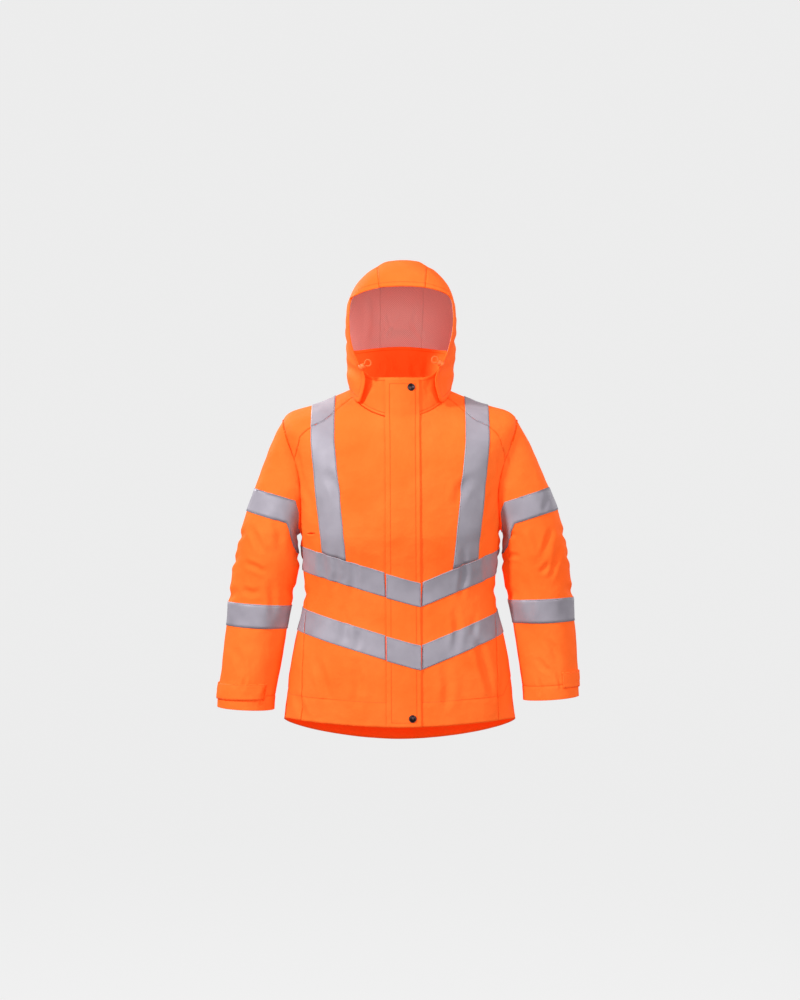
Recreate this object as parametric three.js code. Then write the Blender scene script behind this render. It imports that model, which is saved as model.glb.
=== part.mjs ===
// A hi-vis winter work jacket, filled out with no wearer, hood up and storm flap snapped shut.
// Millimetres, +Z up. The front faces -Y and the wearer's left side is +X.
// The origin is the middle of the neck, between the shoulders.

import * as THREE from "three";

const DEGREE = Math.PI / 180;

// Cloth and the clear space between pieces
const WALL = 2.0;
const LINING_WALL = 1.0;
const TAPE_WALL = 1.0;
const SEAM_GAP = 0.36;
const LIFT = 0.95;
const MITRE_LIMIT = 0.35;

// Reflective tape
const TAPE_WIDTH = 50;
const CHEVRON_X = 40;
const UPPER_BAND_Z = -430;
const LOWER_BAND_Z = -558;
const SLOPE_RIGHT = 0.3;
const SLOPE_LEFT = 0.4;
const BACK_BAND_RISE = 76;
const BACK_BAND_FROM_Y = -40;
const BACK_BAND_TURN = 90;

// Closed loops round the body, from the hem to the neck. The side seam's angle runs from centre front.
const TORSO = [
  {
    at: "hem", side_z: -694, front_z: -698, back_z: -754,
    half: 245, front: 136, back: 136, square: 0.04, seam: 52,
  },
  {
    at: "hip", side_z: -634, front_z: -634, back_z: -674,
    half: 238, front: 133, back: 134, square: 0.04, seam: 54,
  },
  {
    at: "high hip", side_z: -550, front_z: -550, back_z: -570,
    half: 226, front: 127, back: 127, square: 0.04, seam: 59,
  },
  {
    at: "low waist", side_z: -487, front_z: -487, back_z: -494,
    half: 211, front: 120, back: 117, square: 0.04, seam: 67,
  },
  {
    at: "waist", side_z: -424, front_z: -426, back_z: -426,
    half: 199, front: 117, back: 111, square: 0.04, seam: 75,
  },
  {
    at: "high waist", side_z: -361, front_z: -366, back_z: -361,
    half: 206, front: 125, back: 115, square: 0.05, seam: 82,
  },
  {
    at: "underarm", side_z: -300, front_z: -314, back_z: -298,
    half: 211, front: 136, back: 121, square: 0.06, seam: 90,
  },
  {
    at: "chest", side_z: -180, front_z: -222, back_z: -188,
    half: 223, front: 131, back: 123, square: 0.06, seam: 90,
  },
  {
    at: "shoulder", side_z: -65, front_z: -146, back_z: -88,
    half: 245, front: 115, back: 111, square: 0.05, seam: 90,
  },
  {
    at: "mid shoulder", side_z: -37, front_z: -104, back_z: -34,
    half: 172, front: 101, back: 97, square: 0.03, seam: 90,
  },
  {
    at: "neck", side_z: -8, front_z: -67, back_z: 12,
    half: 101, front: 90, back: 80, square: 0, seam: 90,
  },
];
const UNDERARM_LEVEL = 6;
const NECK_LEVEL = 10;

// The armhole is an oval on that surface, from the underarm to the shoulder point
const ARMHOLE_LEVEL = 7;
const ARMHOLE_HALF_ANGLE = 27;
const YOKE_TURN = 110;

// Front yoke seam, from the armhole to the neck; the back one mirrors it
const YOKE_SEAM = [
  {
    level: ARMHOLE_LEVEL - Math.cos(YOKE_TURN * DEGREE),
    angle: 90 - ARMHOLE_HALF_ANGLE * Math.sin(YOKE_TURN * DEGREE),
  },
  { level: 7.8, angle: 54 },
  { level: 8.9, angle: 56 },
  { level: NECK_LEVEL, angle: 76 },
];

// Largest folds of the body: a ridge or trough at an angle and level, leaning by degrees per level
const TORSO_FOLDS = [
  { at: "right armhole drag", angle: -58, level: 6.3, lean: -9, width: 5, reach: 0.7, depth: 3 },
  { at: "left armhole drag", angle: 59, level: 6.2, lean: 10, width: 5, reach: 0.8, depth: -3 },
  { at: "right waist fold", angle: -66, level: 4.7, lean: -12, width: 9, reach: 0.9, depth: -3.5 },
  { at: "left waist fold", angle: 64, level: 4.5, lean: 11, width: 9, reach: 0.8, depth: -3 },
  { at: "right skirt flare", angle: -44, level: 1.2, lean: 3, width: 8, reach: 1.5, depth: 4 },
  { at: "left skirt flare", angle: 40, level: 1.0, lean: -4, width: 7, reach: 1.4, depth: 4 },
  { at: "right skirt trough", angle: -28, level: 1.4, lean: 2, width: 6, reach: 1.3, depth: -2.5 },
  { at: "left skirt trough", angle: 27, level: 1.3, lean: -2, width: 6, reach: 1.2, depth: -2.5 },
  { at: "back right hollow", angle: -150, level: 4.3, lean: 8, width: 9, reach: 1.1, depth: -4 },
  { at: "back left hollow", angle: 149, level: 4.4, lean: -8, width: 10, reach: 1.0, depth: -4 },
  { at: "back right flare", angle: -146, level: 1.0, lean: -3, width: 9, reach: 1.6, depth: 5 },
  { at: "back left flare", angle: 143, level: 1.1, lean: 3, width: 8, reach: 1.6, depth: 5 },
];

// Sleeve sections below the cap, from the arm to the cuff; x is the distance from the centre plane
const SLEEVE_RIGHT = [
  { at: "arm", x: 278, y: 2, z: -361, half: 66, depth: 74, tilt: 0.34 },
  { at: "over elbow", x: 287, y: 3, z: -403, half: 66, depth: 73, tilt: 0.3 },
  { at: "elbow", x: 293, y: 3, z: -445, half: 66, depth: 72, tilt: 0.26 },
  { at: "under elbow", x: 299, y: 1, z: -487, half: 64, depth: 71, tilt: 0.2 },
  { at: "forearm", x: 304.5, y: -2, z: -529, half: 63, depth: 69, tilt: 0.14 },
  { at: "low forearm", x: 311, y: -6, z: -571, half: 62, depth: 67, tilt: 0.09 },
  { at: "wrist", x: 317, y: -11, z: -613, half: 61, depth: 65, tilt: 0.06 },
  { at: "cuff", x: 321, y: -16, z: -645, half: 60, depth: 63, tilt: 0.05 },
  { at: "cuff edge", x: 322.5, y: -19, z: -669, half: 60, depth: 62, tilt: 0.05 },
];
const SLEEVE_LEFT = [
  { at: "arm", x: 283, y: 2, z: -361, half: 69, depth: 74, tilt: 0.36 },
  { at: "over elbow", x: 290, y: 3, z: -403, half: 68, depth: 73, tilt: 0.32 },
  { at: "elbow", x: 296, y: 3, z: -445, half: 67, depth: 72, tilt: 0.26 },
  { at: "under elbow", x: 302, y: 1, z: -487, half: 65, depth: 71, tilt: 0.2 },
  { at: "forearm", x: 307, y: -2, z: -529, half: 63, depth: 69, tilt: 0.13 },
  { at: "low forearm", x: 310, y: -6, z: -566, half: 62, depth: 67, tilt: 0.09 },
  { at: "wrist", x: 313, y: -10, z: -601, half: 61, depth: 65, tilt: 0.07 },
  { at: "cuff", x: 314.5, y: -14, z: -628, half: 60, depth: 63, tilt: 0.07 },
  { at: "cuff edge", x: 315, y: -16, z: -648, half: 60, depth: 62, tilt: 0.07 },
];

// Largest folds of the sleeves: turn runs round from the underarm by way of the front
const SLEEVE_FOLDS = [
  { at: "elbow trough", turn: 128, section: 3.6, lean: -30, width: 17, reach: 0.8, depth: -5 },
  { at: "second trough", turn: 150, section: 4.5, lean: -32, width: 15, reach: 0.5, depth: -4 },
  { at: "inner elbow ridge", turn: 62, section: 3.2, lean: 14, width: 18, reach: 0.9, depth: 4 },
  { at: "inner elbow trough", turn: 36, section: 3.8, lean: 22, width: 14, reach: 0.6, depth: -3.5 },
  { at: "back elbow trough", turn: 232, section: 3.2, lean: 24, width: 18, reach: 0.8, depth: -5 },
  { at: "back forearm trough", turn: 250, section: 4.6, lean: 26, width: 16, reach: 0.6, depth: -4 },
  { at: "cap hollow", turn: 75, section: 0.55, lean: 24, width: 14, reach: 0.3, depth: -4 },
];

// Top edge of the stand collar: level in front, then rising round the neck. Its lower edge is the neck loop.
const COLLAR_TOP = { side_z: 80, front_z: 17.5, back_z: 93, half: 100, front: 85, back: 85 };
const COLLAR_LEVEL_ANGLE = 30;
const COLLAR_RISE_ANGLE = 66;
const COLLAR_SIDE_ANGLE = COLLAR_LEVEL_ANGLE + COLLAR_RISE_ANGLE;

// Hood posts, half of the hood from its lower front edge up to the middle line. Each row is where the
// post meets a rib; ribs run from the brim over the crown to the neck seam. A row with a neck angle
// lies on the neck seam.
const HOOD_FOOT = [
  { rib: "brim", x: 106, y: -96, z: 178 },
  { rib: "forehead", x: 109, y: -93, z: 130 },
  { rib: "fore crown", x: 103, y: -90, z: 86 },
  { rib: "crown", x: 89, y: -87, z: 48 },
  { rib: "rear crown", x: 72, y: -84, z: 17 },
  { rib: "back", x: 79, y: -72, z: -18 },
  { rib: "low back", neck: 56 },
  { rib: "nape", neck: 92 },
  { rib: "neck seam", neck: 124 },
];
const HOOD_SIDE = [
  { rib: "brim", x: 98, y: -105, z: 185 },
  { rib: "forehead", x: 112, y: -82, z: 166 },
  { rib: "fore crown", x: 116, y: -58, z: 138 },
  { rib: "crown", x: 117, y: -36, z: 106 },
  { rib: "rear crown", x: 115, y: -22, z: 74 },
  { rib: "back", x: 116, y: -14, z: 42 },
  { rib: "low back", x: 116, y: 0, z: 24 },
  { rib: "nape", x: 109, y: 34, z: 14 },
  { rib: "neck seam", neck: 136 },
];
const HOOD_SHOULDER = [
  { rib: "brim", x: 77, y: -116, z: 192 },
  { rib: "forehead", x: 92, y: -88, z: 210 },
  { rib: "fore crown", x: 101, y: -44, z: 212 },
  { rib: "crown", x: 108, y: -2, z: 200 },
  { rib: "rear crown", x: 110, y: 40, z: 164 },
  { rib: "back", x: 107, y: 66, z: 112 },
  { rib: "low back", x: 101, y: 76, z: 66 },
  { rib: "nape", x: 86, y: 84, z: 38 },
  { rib: "neck seam", neck: 148 },
];
const HOOD_STRIP_EDGE = [
  { rib: "brim", x: 48, y: -125, z: 198 },
  { rib: "forehead", x: 49, y: -98, z: 232 },
  { rib: "fore crown", x: 50, y: -46, z: 254 },
  { rib: "crown", x: 50, y: 9, z: 260 },
  { rib: "rear crown", x: 49, y: 74, z: 238 },
  { rib: "back", x: 48, y: 116, z: 186 },
  { rib: "low back", x: 46, y: 125, z: 120 },
  { rib: "nape", x: 42, y: 109, z: 57 },
  { rib: "neck seam", neck: 160 },
];
const HOOD_MIDDLE = [
  { rib: "brim", x: 0, y: -131, z: 200 },
  { rib: "forehead", x: 0, y: -105, z: 239 },
  { rib: "fore crown", x: 0, y: -51, z: 263 },
  { rib: "crown", x: 0, y: 8, z: 269 },
  { rib: "rear crown", x: 0, y: 79, z: 247 },
  { rib: "back", x: 0, y: 124, z: 192 },
  { rib: "low back", x: 0, y: 134, z: 124 },
  { rib: "nape", x: 0, y: 118, z: 60 },
  { rib: "neck seam", neck: 180 },
];
const HOOD_LEAN = 0.02;
const HOOD_FOOT_OUT = 4.5;
const HOOD_FOOT_RISE = 0.5;

// Storm flap, from its sewn edge on the wearer's right to its free edge
const FLAP_SEWN_X = { hem: -26.4, top: -30.5 };
const FLAP_FREE_X = { hem: 43.5, top: 39.8 };
const FLAP_COLUMNS = 4;
const ZIP_HALF_WIDTH = 13;

const FINISH = {
  shell: { color: 0xfd7a34, roughness: 0.72, metalness: 0 },
  tape: { color: 0xb4b0b8, roughness: 0.42, metalness: 0.1 },
  lining: { color: 0xc98580, roughness: 0.85, metalness: 0 },
  metal: { color: 0x2b2a2c, roughness: 0.35, metalness: 0.8 },
};

const jacket = new THREE.Group();

// Value of one column of a table at a fractional row, on a smooth curve through the rows
function column(table, name, row) {
  const last = table.length - 1;
  const start = Math.min(Math.max(Math.floor(row), 0), last - 1);
  const t = row - start;
  const pick = (index) => table[Math.min(Math.max(index, 0), last)][name];
  const before = start > 0 ? pick(start - 1) : 2 * pick(0) - pick(1);
  const after = start + 2 > last ? 2 * pick(last) - pick(last - 1) : pick(start + 2);
  const from = pick(start);
  const to = pick(start + 1);
  const slopeFrom = (to - before) / 2;
  const slopeTo = (after - from) / 2;
  const bend = 2 * (from - to) + slopeFrom + slopeTo;
  return from + slopeFrom * t + (to - from - slopeFrom - bend) * t * t + bend * t * t * t;
}

// Numbers from 0 to 1 in equal steps, both ends included
function steps(count) {
  return Array.from({ length: count + 1 }, (_, index) => index / count);
}

function lerp(from, to, t) {
  return from + (to - from) * t;
}

function smooth(t) {
  const held = Math.min(Math.max(t, 0), 1);
  return held * held * (3 - 2 * held);
}

// Root of a function that is negative at low and positive at high
function solve(low, high, value) {
  for (let turn = 0; turn < 40; turn += 1) {
    const middle = (low + high) / 2;
    if (value(middle) < 0) {
      low = middle;
    } else {
      high = middle;
    }
  }
  return (low + high) / 2;
}

// Outward push of the folds at a place, with the distance round in degrees taken the short way
function foldPush(folds, across, along, place) {
  return folds.reduce((push, fold) => {
    const rise = along - fold[place.along];
    const raw = across - fold[place.across] - fold.lean * rise;
    const turn = raw - 360 * Math.round(raw / 360);
    return push + fold.depth * Math.exp(-((turn / fold.width) ** 2) - (rise / fold.reach) ** 2);
  }, 0);
}

// Point of a loop whose front, side and back have their own depth and height
function loopPoint(angle, loop) {
  const front = Math.cos(angle * DEGREE);
  const side = Math.sin(angle * DEGREE);
  const swell = 1 + (loop.square ?? 0) * Math.sin(2 * angle * DEGREE) ** 2;
  const depth = front > 0 ? loop.front : loop.back;
  const tip = (loop.front_z - loop.back_z) / 2;
  const bow = (loop.front_z + loop.back_z) / 2 - loop.side_z;
  return new THREE.Vector3(
    loop.half * side * swell + side * (loop.push ?? 0),
    -depth * front * swell - front * (loop.push ?? 0),
    loop.side_z + tip * front + bow * front * front,
  );
}

function torsoPoint(angle, level) {
  const loop = { push: foldPush(TORSO_FOLDS, angle, level, { across: "angle", along: "level" }) };
  for (const name of ["side_z", "front_z", "back_z", "half", "front", "back", "square"]) {
    loop[name] = column(TORSO, name, level);
  }
  return loopPoint(angle, loop);
}

function collarPoint(angle, rise) {
  const seam = torsoPoint(angle, NECK_LEVEL);
  const top = loopPoint(angle, COLLAR_TOP);
  const turn = Math.abs(angle - 360 * Math.round(angle / 360));
  const toSide = smooth((turn - COLLAR_LEVEL_ANGLE) / COLLAR_RISE_ANGLE);
  const toBack = smooth((turn - COLLAR_SIDE_ANGLE) / (180 - COLLAR_SIDE_ANGLE));
  top.z = lerp(lerp(COLLAR_TOP.front_z, COLLAR_TOP.side_z, toSide), COLLAR_TOP.back_z, toBack);
  return seam.lerp(top, rise);
}

// Outward direction of a surface that runs round with its first number and up with its second
function outward(surface, across, along, stepAcross, stepAlong) {
  const round = surface(across + stepAcross, along).sub(surface(across - stepAcross, along));
  const up = surface(across, along + stepAlong).sub(surface(across, along - stepAlong));
  return round.cross(up).normalize();
}

// A sheet is a grid of points with their outward directions: rows run up, columns run round
class Sheet {
  constructor(points, normals, ring = false) {
    this.points = points;
    this.normals = normals;
    this.ring = ring;
  }

  // Sheet over places of a surface, given as a grid of [across, along]
  static over(surface, places, steps = [0.5, 0.02]) {
    const points = places.map((row) => row.map(([across, along]) => surface(across, along)));
    const normals = places.map((row) => row.map((place) => outward(surface, ...place, ...steps)));
    return new Sheet(points, normals);
  }

  // Outward directions from the grid itself
  static normalsOf(points, ring) {
    const rows = points.length;
    const columns = points[0].length;
    return points.map((row, r) => row.map((_, c) => {
      const next = ring ? row[(c + 1) % columns] : row[Math.min(c + 1, columns - 1)];
      const previous = ring ? row[(c + columns - 1) % columns] : row[Math.max(c - 1, 0)];
      const above = points[Math.min(r + 1, rows - 1)][c];
      const below = points[Math.max(r - 1, 0)][c];
      return next.clone().sub(previous).cross(above.clone().sub(below)).normalize();
    }));
  }

  // The same sheet with its open edges drawn in, square to each edge
  inset(gap) {
    const moved = this.points.map((row) => row.map((point) => point.clone()));
    const rows = moved.length;
    const columns = moved[0].length;
    const loops = [];
    const bottom = Array.from({ length: columns }, (_, c) => [0, c]);
    const top = Array.from({ length: columns }, (_, c) => [rows - 1, columns - 1 - c]);
    if (this.ring) {
      loops.push(bottom, top);
    } else {
      const right = Array.from({ length: rows - 2 }, (_, r) => [r + 1, columns - 1]);
      const left = Array.from({ length: rows - 2 }, (_, r) => [rows - 2 - r, 0]);
      loops.push([...bottom, ...right, ...top, ...left]);
    }
    for (const loop of loops) {
      loop.forEach(([r, c], index) => {
        const [rb, cb] = loop[(index + loop.length - 1) % loop.length];
        const [ra, ca] = loop[(index + 1) % loop.length];
        const here = this.points[r][c];
        const normal = this.normals[r][c];
        const before = here.clone().sub(this.points[rb][cb]).cross(normal).normalize().negate();
        const after = this.points[ra][ca].clone().sub(here).cross(normal).normalize().negate();
        const mean = before.clone().add(after).normalize();
        const reach = gap / Math.max(mean.dot(before), MITRE_LIMIT);
        moved[r][c].addScaledVector(mean, reach);
      });
    }
    return new Sheet(moved, this.normals, this.ring);
  }

  // Point and direction at a fractional column and row of the flat facets
  at(c, r) {
    const r0 = Math.min(Math.floor(r), this.points.length - 2);
    const c0 = Math.min(Math.floor(c), this.points[0].length - 2);
    const across = c - c0;
    const up = r - r0;
    const mix = (grid) => {
      const from = grid[r0][c0];
      const far = grid[r0 + 1][c0 + 1];
      const turn = across > up ? grid[r0][c0 + 1] : grid[r0 + 1][c0];
      const [first, second] = across > up ? [across, up] : [up, across];
      const point = from.clone().addScaledVector(turn.clone().sub(from), first);
      return point.addScaledVector(far.clone().sub(turn), second);
    };
    return { point: mix(this.points), normal: mix(this.normals) };
  }

  // The sheet over chosen rows and each row's columns, which may be fractional, on the same facets
  crop(columns, rows) {
    const places = rows.map((r) => columns(r).map((c) => this.at(c, r)));
    return new Sheet(
      places.map((row) => row.map((place) => place.point)),
      places.map((row) => row.map((place) => place.normal)),
    );
  }

  // Closed solid between two distances from the sheet, along its outward directions
  solid(inner, outer) {
    const rows = this.points.length;
    const columns = this.points[0].length;
    const positions = [];
    for (const distance of [outer, inner]) {
      this.points.forEach((row, r) => row.forEach((point, c) => {
        const moved = point.clone().addScaledVector(this.normals[r][c], distance);
        positions.push(moved.x, moved.y, moved.z);
      }));
    }
    const id = (layer, r, c) => layer * rows * columns + r * columns + (c % columns);
    const faces = [];
    const quad = (a, b, c, d) => faces.push(a, b, c, a, c, d);
    const spans = this.ring ? columns : columns - 1;
    for (let r = 0; r < rows - 1; r += 1) {
      for (let c = 0; c < spans; c += 1) {
        quad(id(0, r, c), id(0, r, c + 1), id(0, r + 1, c + 1), id(0, r + 1, c));
        const [a, b, d, e] = [id(1, r, c), id(1, r, c + 1), id(1, r + 1, c + 1), id(1, r + 1, c)];
        faces.push(a, d, b, a, e, d);
      }
    }
    for (let c = 0; c < spans; c += 1) {
      quad(id(1, 0, c), id(1, 0, c + 1), id(0, 0, c + 1), id(0, 0, c));
      quad(id(0, rows - 1, c), id(0, rows - 1, c + 1), id(1, rows - 1, c + 1), id(1, rows - 1, c));
    }
    if (!this.ring) {
      for (let r = 0; r < rows - 1; r += 1) {
        quad(id(0, r, 0), id(0, r + 1, 0), id(1, r + 1, 0), id(1, r, 0));
        quad(id(1, r, spans), id(1, r + 1, spans), id(0, r + 1, spans), id(0, r, spans));
      }
    }
    const geometry = new THREE.BufferGeometry();
    geometry.setAttribute("position", new THREE.Float32BufferAttribute(positions, 3));
    geometry.setIndex(faces);
    geometry.computeVertexNormals();
    return geometry;
  }
}

function add(name, geometry, finish) {
  const mesh = new THREE.Mesh(geometry, new THREE.MeshStandardMaterial(FINISH[finish]));
  mesh.name = name;
  jacket.add(mesh);
  return mesh;
}

function addCloth(name, sheet) {
  add(name, sheet.inset(SEAM_GAP / 2).solid(-WALL, 0), "shell");
}

function addOnTop(name, sheet, finish = "tape", lift = LIFT, wall = TAPE_WALL) {
  add(name, sheet.solid(lift, lift + wall), finish);
}

// Body: rows up the edge of a front, first the side seam, then the armhole, then the yoke seam
const SKIRT_STEPS = 11;
const ARMHOLE_STEPS = 6;
const YOKE_SEAM_STEPS = 8;
const YOKE_ARC_STEPS = 8;
const FRONT_COLUMNS = 10;
const BACK_COLUMNS = 16;

function armholePlace(turn) {
  return [90 - ARMHOLE_HALF_ANGLE * Math.sin(turn * DEGREE), ARMHOLE_LEVEL - Math.cos(turn * DEGREE)];
}

function yokeSeamPlace(t) {
  const row = t * (YOKE_SEAM.length - 1);
  return [column(YOKE_SEAM, "angle", row), column(YOKE_SEAM, "level", row)];
}

const BODY_ROWS = [
  ...steps(SKIRT_STEPS).slice(0, -1).map((t) => {
    const level = t * UNDERARM_LEVEL;
    const seam = column(TORSO, "seam", level);
    return { level, front: seam, back: seam };
  }),
  ...steps(ARMHOLE_STEPS).slice(0, -1).map((t) => {
    const [angle, level] = armholePlace(t * YOKE_TURN);
    return { level, front: angle, back: 180 - angle };
  }),
  ...steps(YOKE_SEAM_STEPS).map((t) => {
    const [angle, level] = yokeSeamPlace(t);
    return { level, front: angle, back: 180 - angle };
  }),
];

function bodySheet(count, from, to) {
  const places = BODY_ROWS.map((row) => steps(count).map((t) => [lerp(from(row), to(row), t), row.level]));
  return Sheet.over(torsoPoint, places);
}

const sheets = {
  front_right: bodySheet(FRONT_COLUMNS, (row) => -row.front, () => 0),
  front_left: bodySheet(FRONT_COLUMNS, () => 0, (row) => row.front),
  back: bodySheet(BACK_COLUMNS, (row) => row.back, (row) => 360 - row.back),
};

// Yoke: a patch between the two yoke seams, the armhole's top arc and the neck
function yokePlace(round, up) {
  const arc = armholePlace(lerp(YOKE_TURN, 360 - YOKE_TURN, round));
  const frontSeam = yokeSeamPlace(up);
  const backSeam = [180 - frontSeam[0], frontSeam[1]];
  const neckFront = yokeSeamPlace(1);
  const neck = [lerp(neckFront[0], 180 - neckFront[0], round), NECK_LEVEL];
  const low = yokeSeamPlace(0);
  return [0, 1].map((axis) => {
    const mirrored = axis === 0 ? 180 - low[0] : low[1];
    const mirroredNeck = axis === 0 ? 180 - neckFront[0] : NECK_LEVEL;
    const ruled = lerp(arc[axis], neck[axis], up) + lerp(frontSeam[axis], backSeam[axis], round);
    const corners = lerp(lerp(low[axis], mirrored, round), lerp(neckFront[axis], mirroredNeck, round), up);
    return ruled - corners;
  });
}

for (const [name, side] of [["yoke_left", 1], ["yoke_right", -1]]) {
  const columns = steps(YOKE_ARC_STEPS).map((t) => (side > 0 ? t : 1 - t));
  const places = steps(YOKE_SEAM_STEPS).map((up) => columns.map((round) => {
    const [angle, level] = yokePlace(round, up);
    return [side * angle, level];
  }));
  sheets[name] = Sheet.over(torsoPoint, places);
}

for (const name of ["front_right", "front_left", "back", "yoke_right", "yoke_left"]) {
  addCloth(name, sheets[name]);
}

// Sleeve: from the armhole's own points over the cap to the arm section, then down to the cuff
const ARMHOLE_TURNS = [
  ...steps(ARMHOLE_STEPS).slice(0, -1).map((t) => t * YOKE_TURN),
  ...steps(YOKE_ARC_STEPS).slice(0, -1).map((t) => lerp(YOKE_TURN, 360 - YOKE_TURN, t)),
  ...steps(ARMHOLE_STEPS).slice(0, -1).map((t) => lerp(360 - YOKE_TURN, 360, t)),
];
const CAP_ROWS = [0, 0.08, 0.2, 0.35, 0.52, 0.7, 0.86];
const SECTION_STEP = 0.5;
const CAP_START = 0.6;
const CAP_END = 0.95;
const CAP_DROP = new THREE.Vector3(0.45, 0, -0.765);
const CAP_TUCK = 0.3;

function sectionPoint(side, table, turn, row) {
  const at = (name) => column(table, name, row);
  const push = foldPush(SLEEVE_FOLDS, turn, row + 1, { across: "turn", along: "section" });
  const across = -Math.cos(turn * DEGREE) * (at("half") + push);
  return new THREE.Vector3(
    side * (at("x") + across),
    at("y") - Math.sin(turn * DEGREE) * (at("depth") + push),
    at("z") + at("tilt") * across,
  );
}

function sleeveSheet(side, table) {
  const turns = side > 0 ? [...ARMHOLE_TURNS].reverse() : ARMHOLE_TURNS;
  const start = turns.map((turn) => {
    const [angle, level] = armholePlace(turn);
    const normal = outward(torsoPoint, side * angle, level, 0.5, 0.02);
    return { turn, point: torsoPoint(side * angle, level), normal };
  });
  const rows = CAP_ROWS.map((t) => start.map(({ turn, point, normal }) => {
    const end = sectionPoint(side, table, turn, 0);
    const reach = end.distanceTo(point);
    const down = sectionPoint(side, table, turn, 0.1).sub(end).normalize();
    const high = Math.sin(turn * DEGREE / 2);
    const leave = normal.clone().multiplyScalar(0.5 + 0.5 * Math.cos(turn * DEGREE));
    leave.add(new THREE.Vector3(side * CAP_DROP.x * high, 0, CAP_DROP.z * high + CAP_TUCK * (1 - high) ** 2));
    leave.normalize();
    const [t2, t3] = [t * t, t * t * t];
    const push = foldPush(SLEEVE_FOLDS, turn, t, { across: "turn", along: "section" });
    return point.clone().multiplyScalar(2 * t3 - 3 * t2 + 1)
      .addScaledVector(leave, (t3 - 2 * t2 + t) * CAP_START * reach)
      .addScaledVector(end, 3 * t2 - 2 * t3)
      .addScaledVector(down, (t3 - t2) * CAP_END * reach)
      .addScaledVector(normal, t === 0 ? 0 : push);
  }));
  const last = table.length - 1;
  for (let row = 0; row <= last + 1e-6; row += SECTION_STEP) {
    rows.push(turns.map((turn) => sectionPoint(side, table, turn, row)));
  }
  const normals = Sheet.normalsOf(rows, true);
  normals[0] = start.map(({ normal }) => normal);
  return new Sheet(rows, normals, true);
}

sheets.sleeve_right = sleeveSheet(-1, SLEEVE_RIGHT);
sheets.sleeve_left = sleeveSheet(1, SLEEVE_LEFT);
addCloth("sleeve_right", sheets.sleeve_right);
addCloth("sleeve_left", sheets.sleeve_left);

// Stand collar, open at centre front
const COLLAR_COLUMNS = 32;
const COLLAR_ROWS = 3;
const COLLAR_CLEAR = 0.006;
sheets.collar = Sheet.over(
  collarPoint,
  steps(COLLAR_ROWS).map((up) => steps(COLLAR_COLUMNS).map((t) => [360 * t, lerp(COLLAR_CLEAR, 1, up)])),
);
addCloth("collar", sheets.collar);

// Hood: two side panels and the centre strip, over the same ribs
const HOOD_SIDE_COLUMNS = 7;
const HOOD_STRIP_COLUMNS = 6;
const HOOD_RIB_STEP = 0.5;
function neckRest(angle) {
  const seam = torsoPoint(angle, NECK_LEVEL);
  const away = new THREE.Vector3(seam.x, seam.y, 0).normalize();
  const normal = outward(torsoPoint, angle, NECK_LEVEL - 0.05, 0.5, 0.02);
  return seam.addScaledVector(away, HOOD_FOOT_OUT).addScaledVector(normal, HOOD_FOOT_RISE);
}

// The posts' rows as points, those on the neck seam worked out
const HOOD_LINES = [HOOD_FOOT, HOOD_SIDE, HOOD_SHOULDER, HOOD_STRIP_EDGE, HOOD_MIDDLE].map((post) => (
  post.map((row) => (row.neck === undefined ? row : neckRest(row.neck)))
));
const HALF_POSTS = HOOD_LINES.length - 1;
const HOOD_ROUNDS = 2 * HALF_POSTS;
const FIRST_NECK_RIB = HOOD_FOOT.findIndex((row) => row.neck !== undefined);
const NECK_RIBS = HOOD_FOOT.slice(FIRST_NECK_RIB);

// One post's point at a fractional rib; the foot follows the neck seam once it has reached it
function postPoint(post, rib) {
  if (post === 0 && rib > FIRST_NECK_RIB) {
    return neckRest(column(NECK_RIBS, "neck", rib - FIRST_NECK_RIB));
  }
  const line = HOOD_LINES[post];
  return { x: column(line, "x", rib), y: column(line, "y", rib), z: column(line, "z", rib) };
}

// Point of the hood: round runs over the posts from the right foot to the left foot
function hoodPoint(round, rib) {
  const posts = steps(HOOD_ROUNDS).map((_, index) => {
    const { x, y, z } = postPoint(Math.min(index, HOOD_ROUNDS - index), rib);
    return { x: index < HALF_POSTS ? -x : x, y, z };
  });
  const [x, y, z] = ["x", "y", "z"].map((axis) => column(posts, axis, round));
  return new THREE.Vector3(x + HOOD_LEAN * Math.max(z, 0), y, z);
}

const STRIP_START = HALF_POSTS - 1;
const STRIP_END = HALF_POSTS + 1;
const HOOD_PIECES = [
  { name: "right", from: 0, to: STRIP_START, columns: HOOD_SIDE_COLUMNS },
  { name: "centre", from: STRIP_START, to: STRIP_END, columns: HOOD_STRIP_COLUMNS },
  { name: "left", from: STRIP_END, to: HOOD_ROUNDS, columns: HOOD_SIDE_COLUMNS },
];
const RIB_ROWS = steps((HOOD_MIDDLE.length - 1) / HOOD_RIB_STEP).map((t) => t * (HOOD_MIDDLE.length - 1));

// The lining lies inside the hood's own facets, from just behind the edge of the opening to the nape
const LINING_DEPTH = WALL + 0.9;
const LINING_EDGE_ROW = 1.0;
const LINING_EDGE_COLUMN = 0.7;
const LINING_NECK_COLUMN = 0.95;
const LINING_LIFT_ROW = 8;
const LINING_LAST_ROW = 13;

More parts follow.
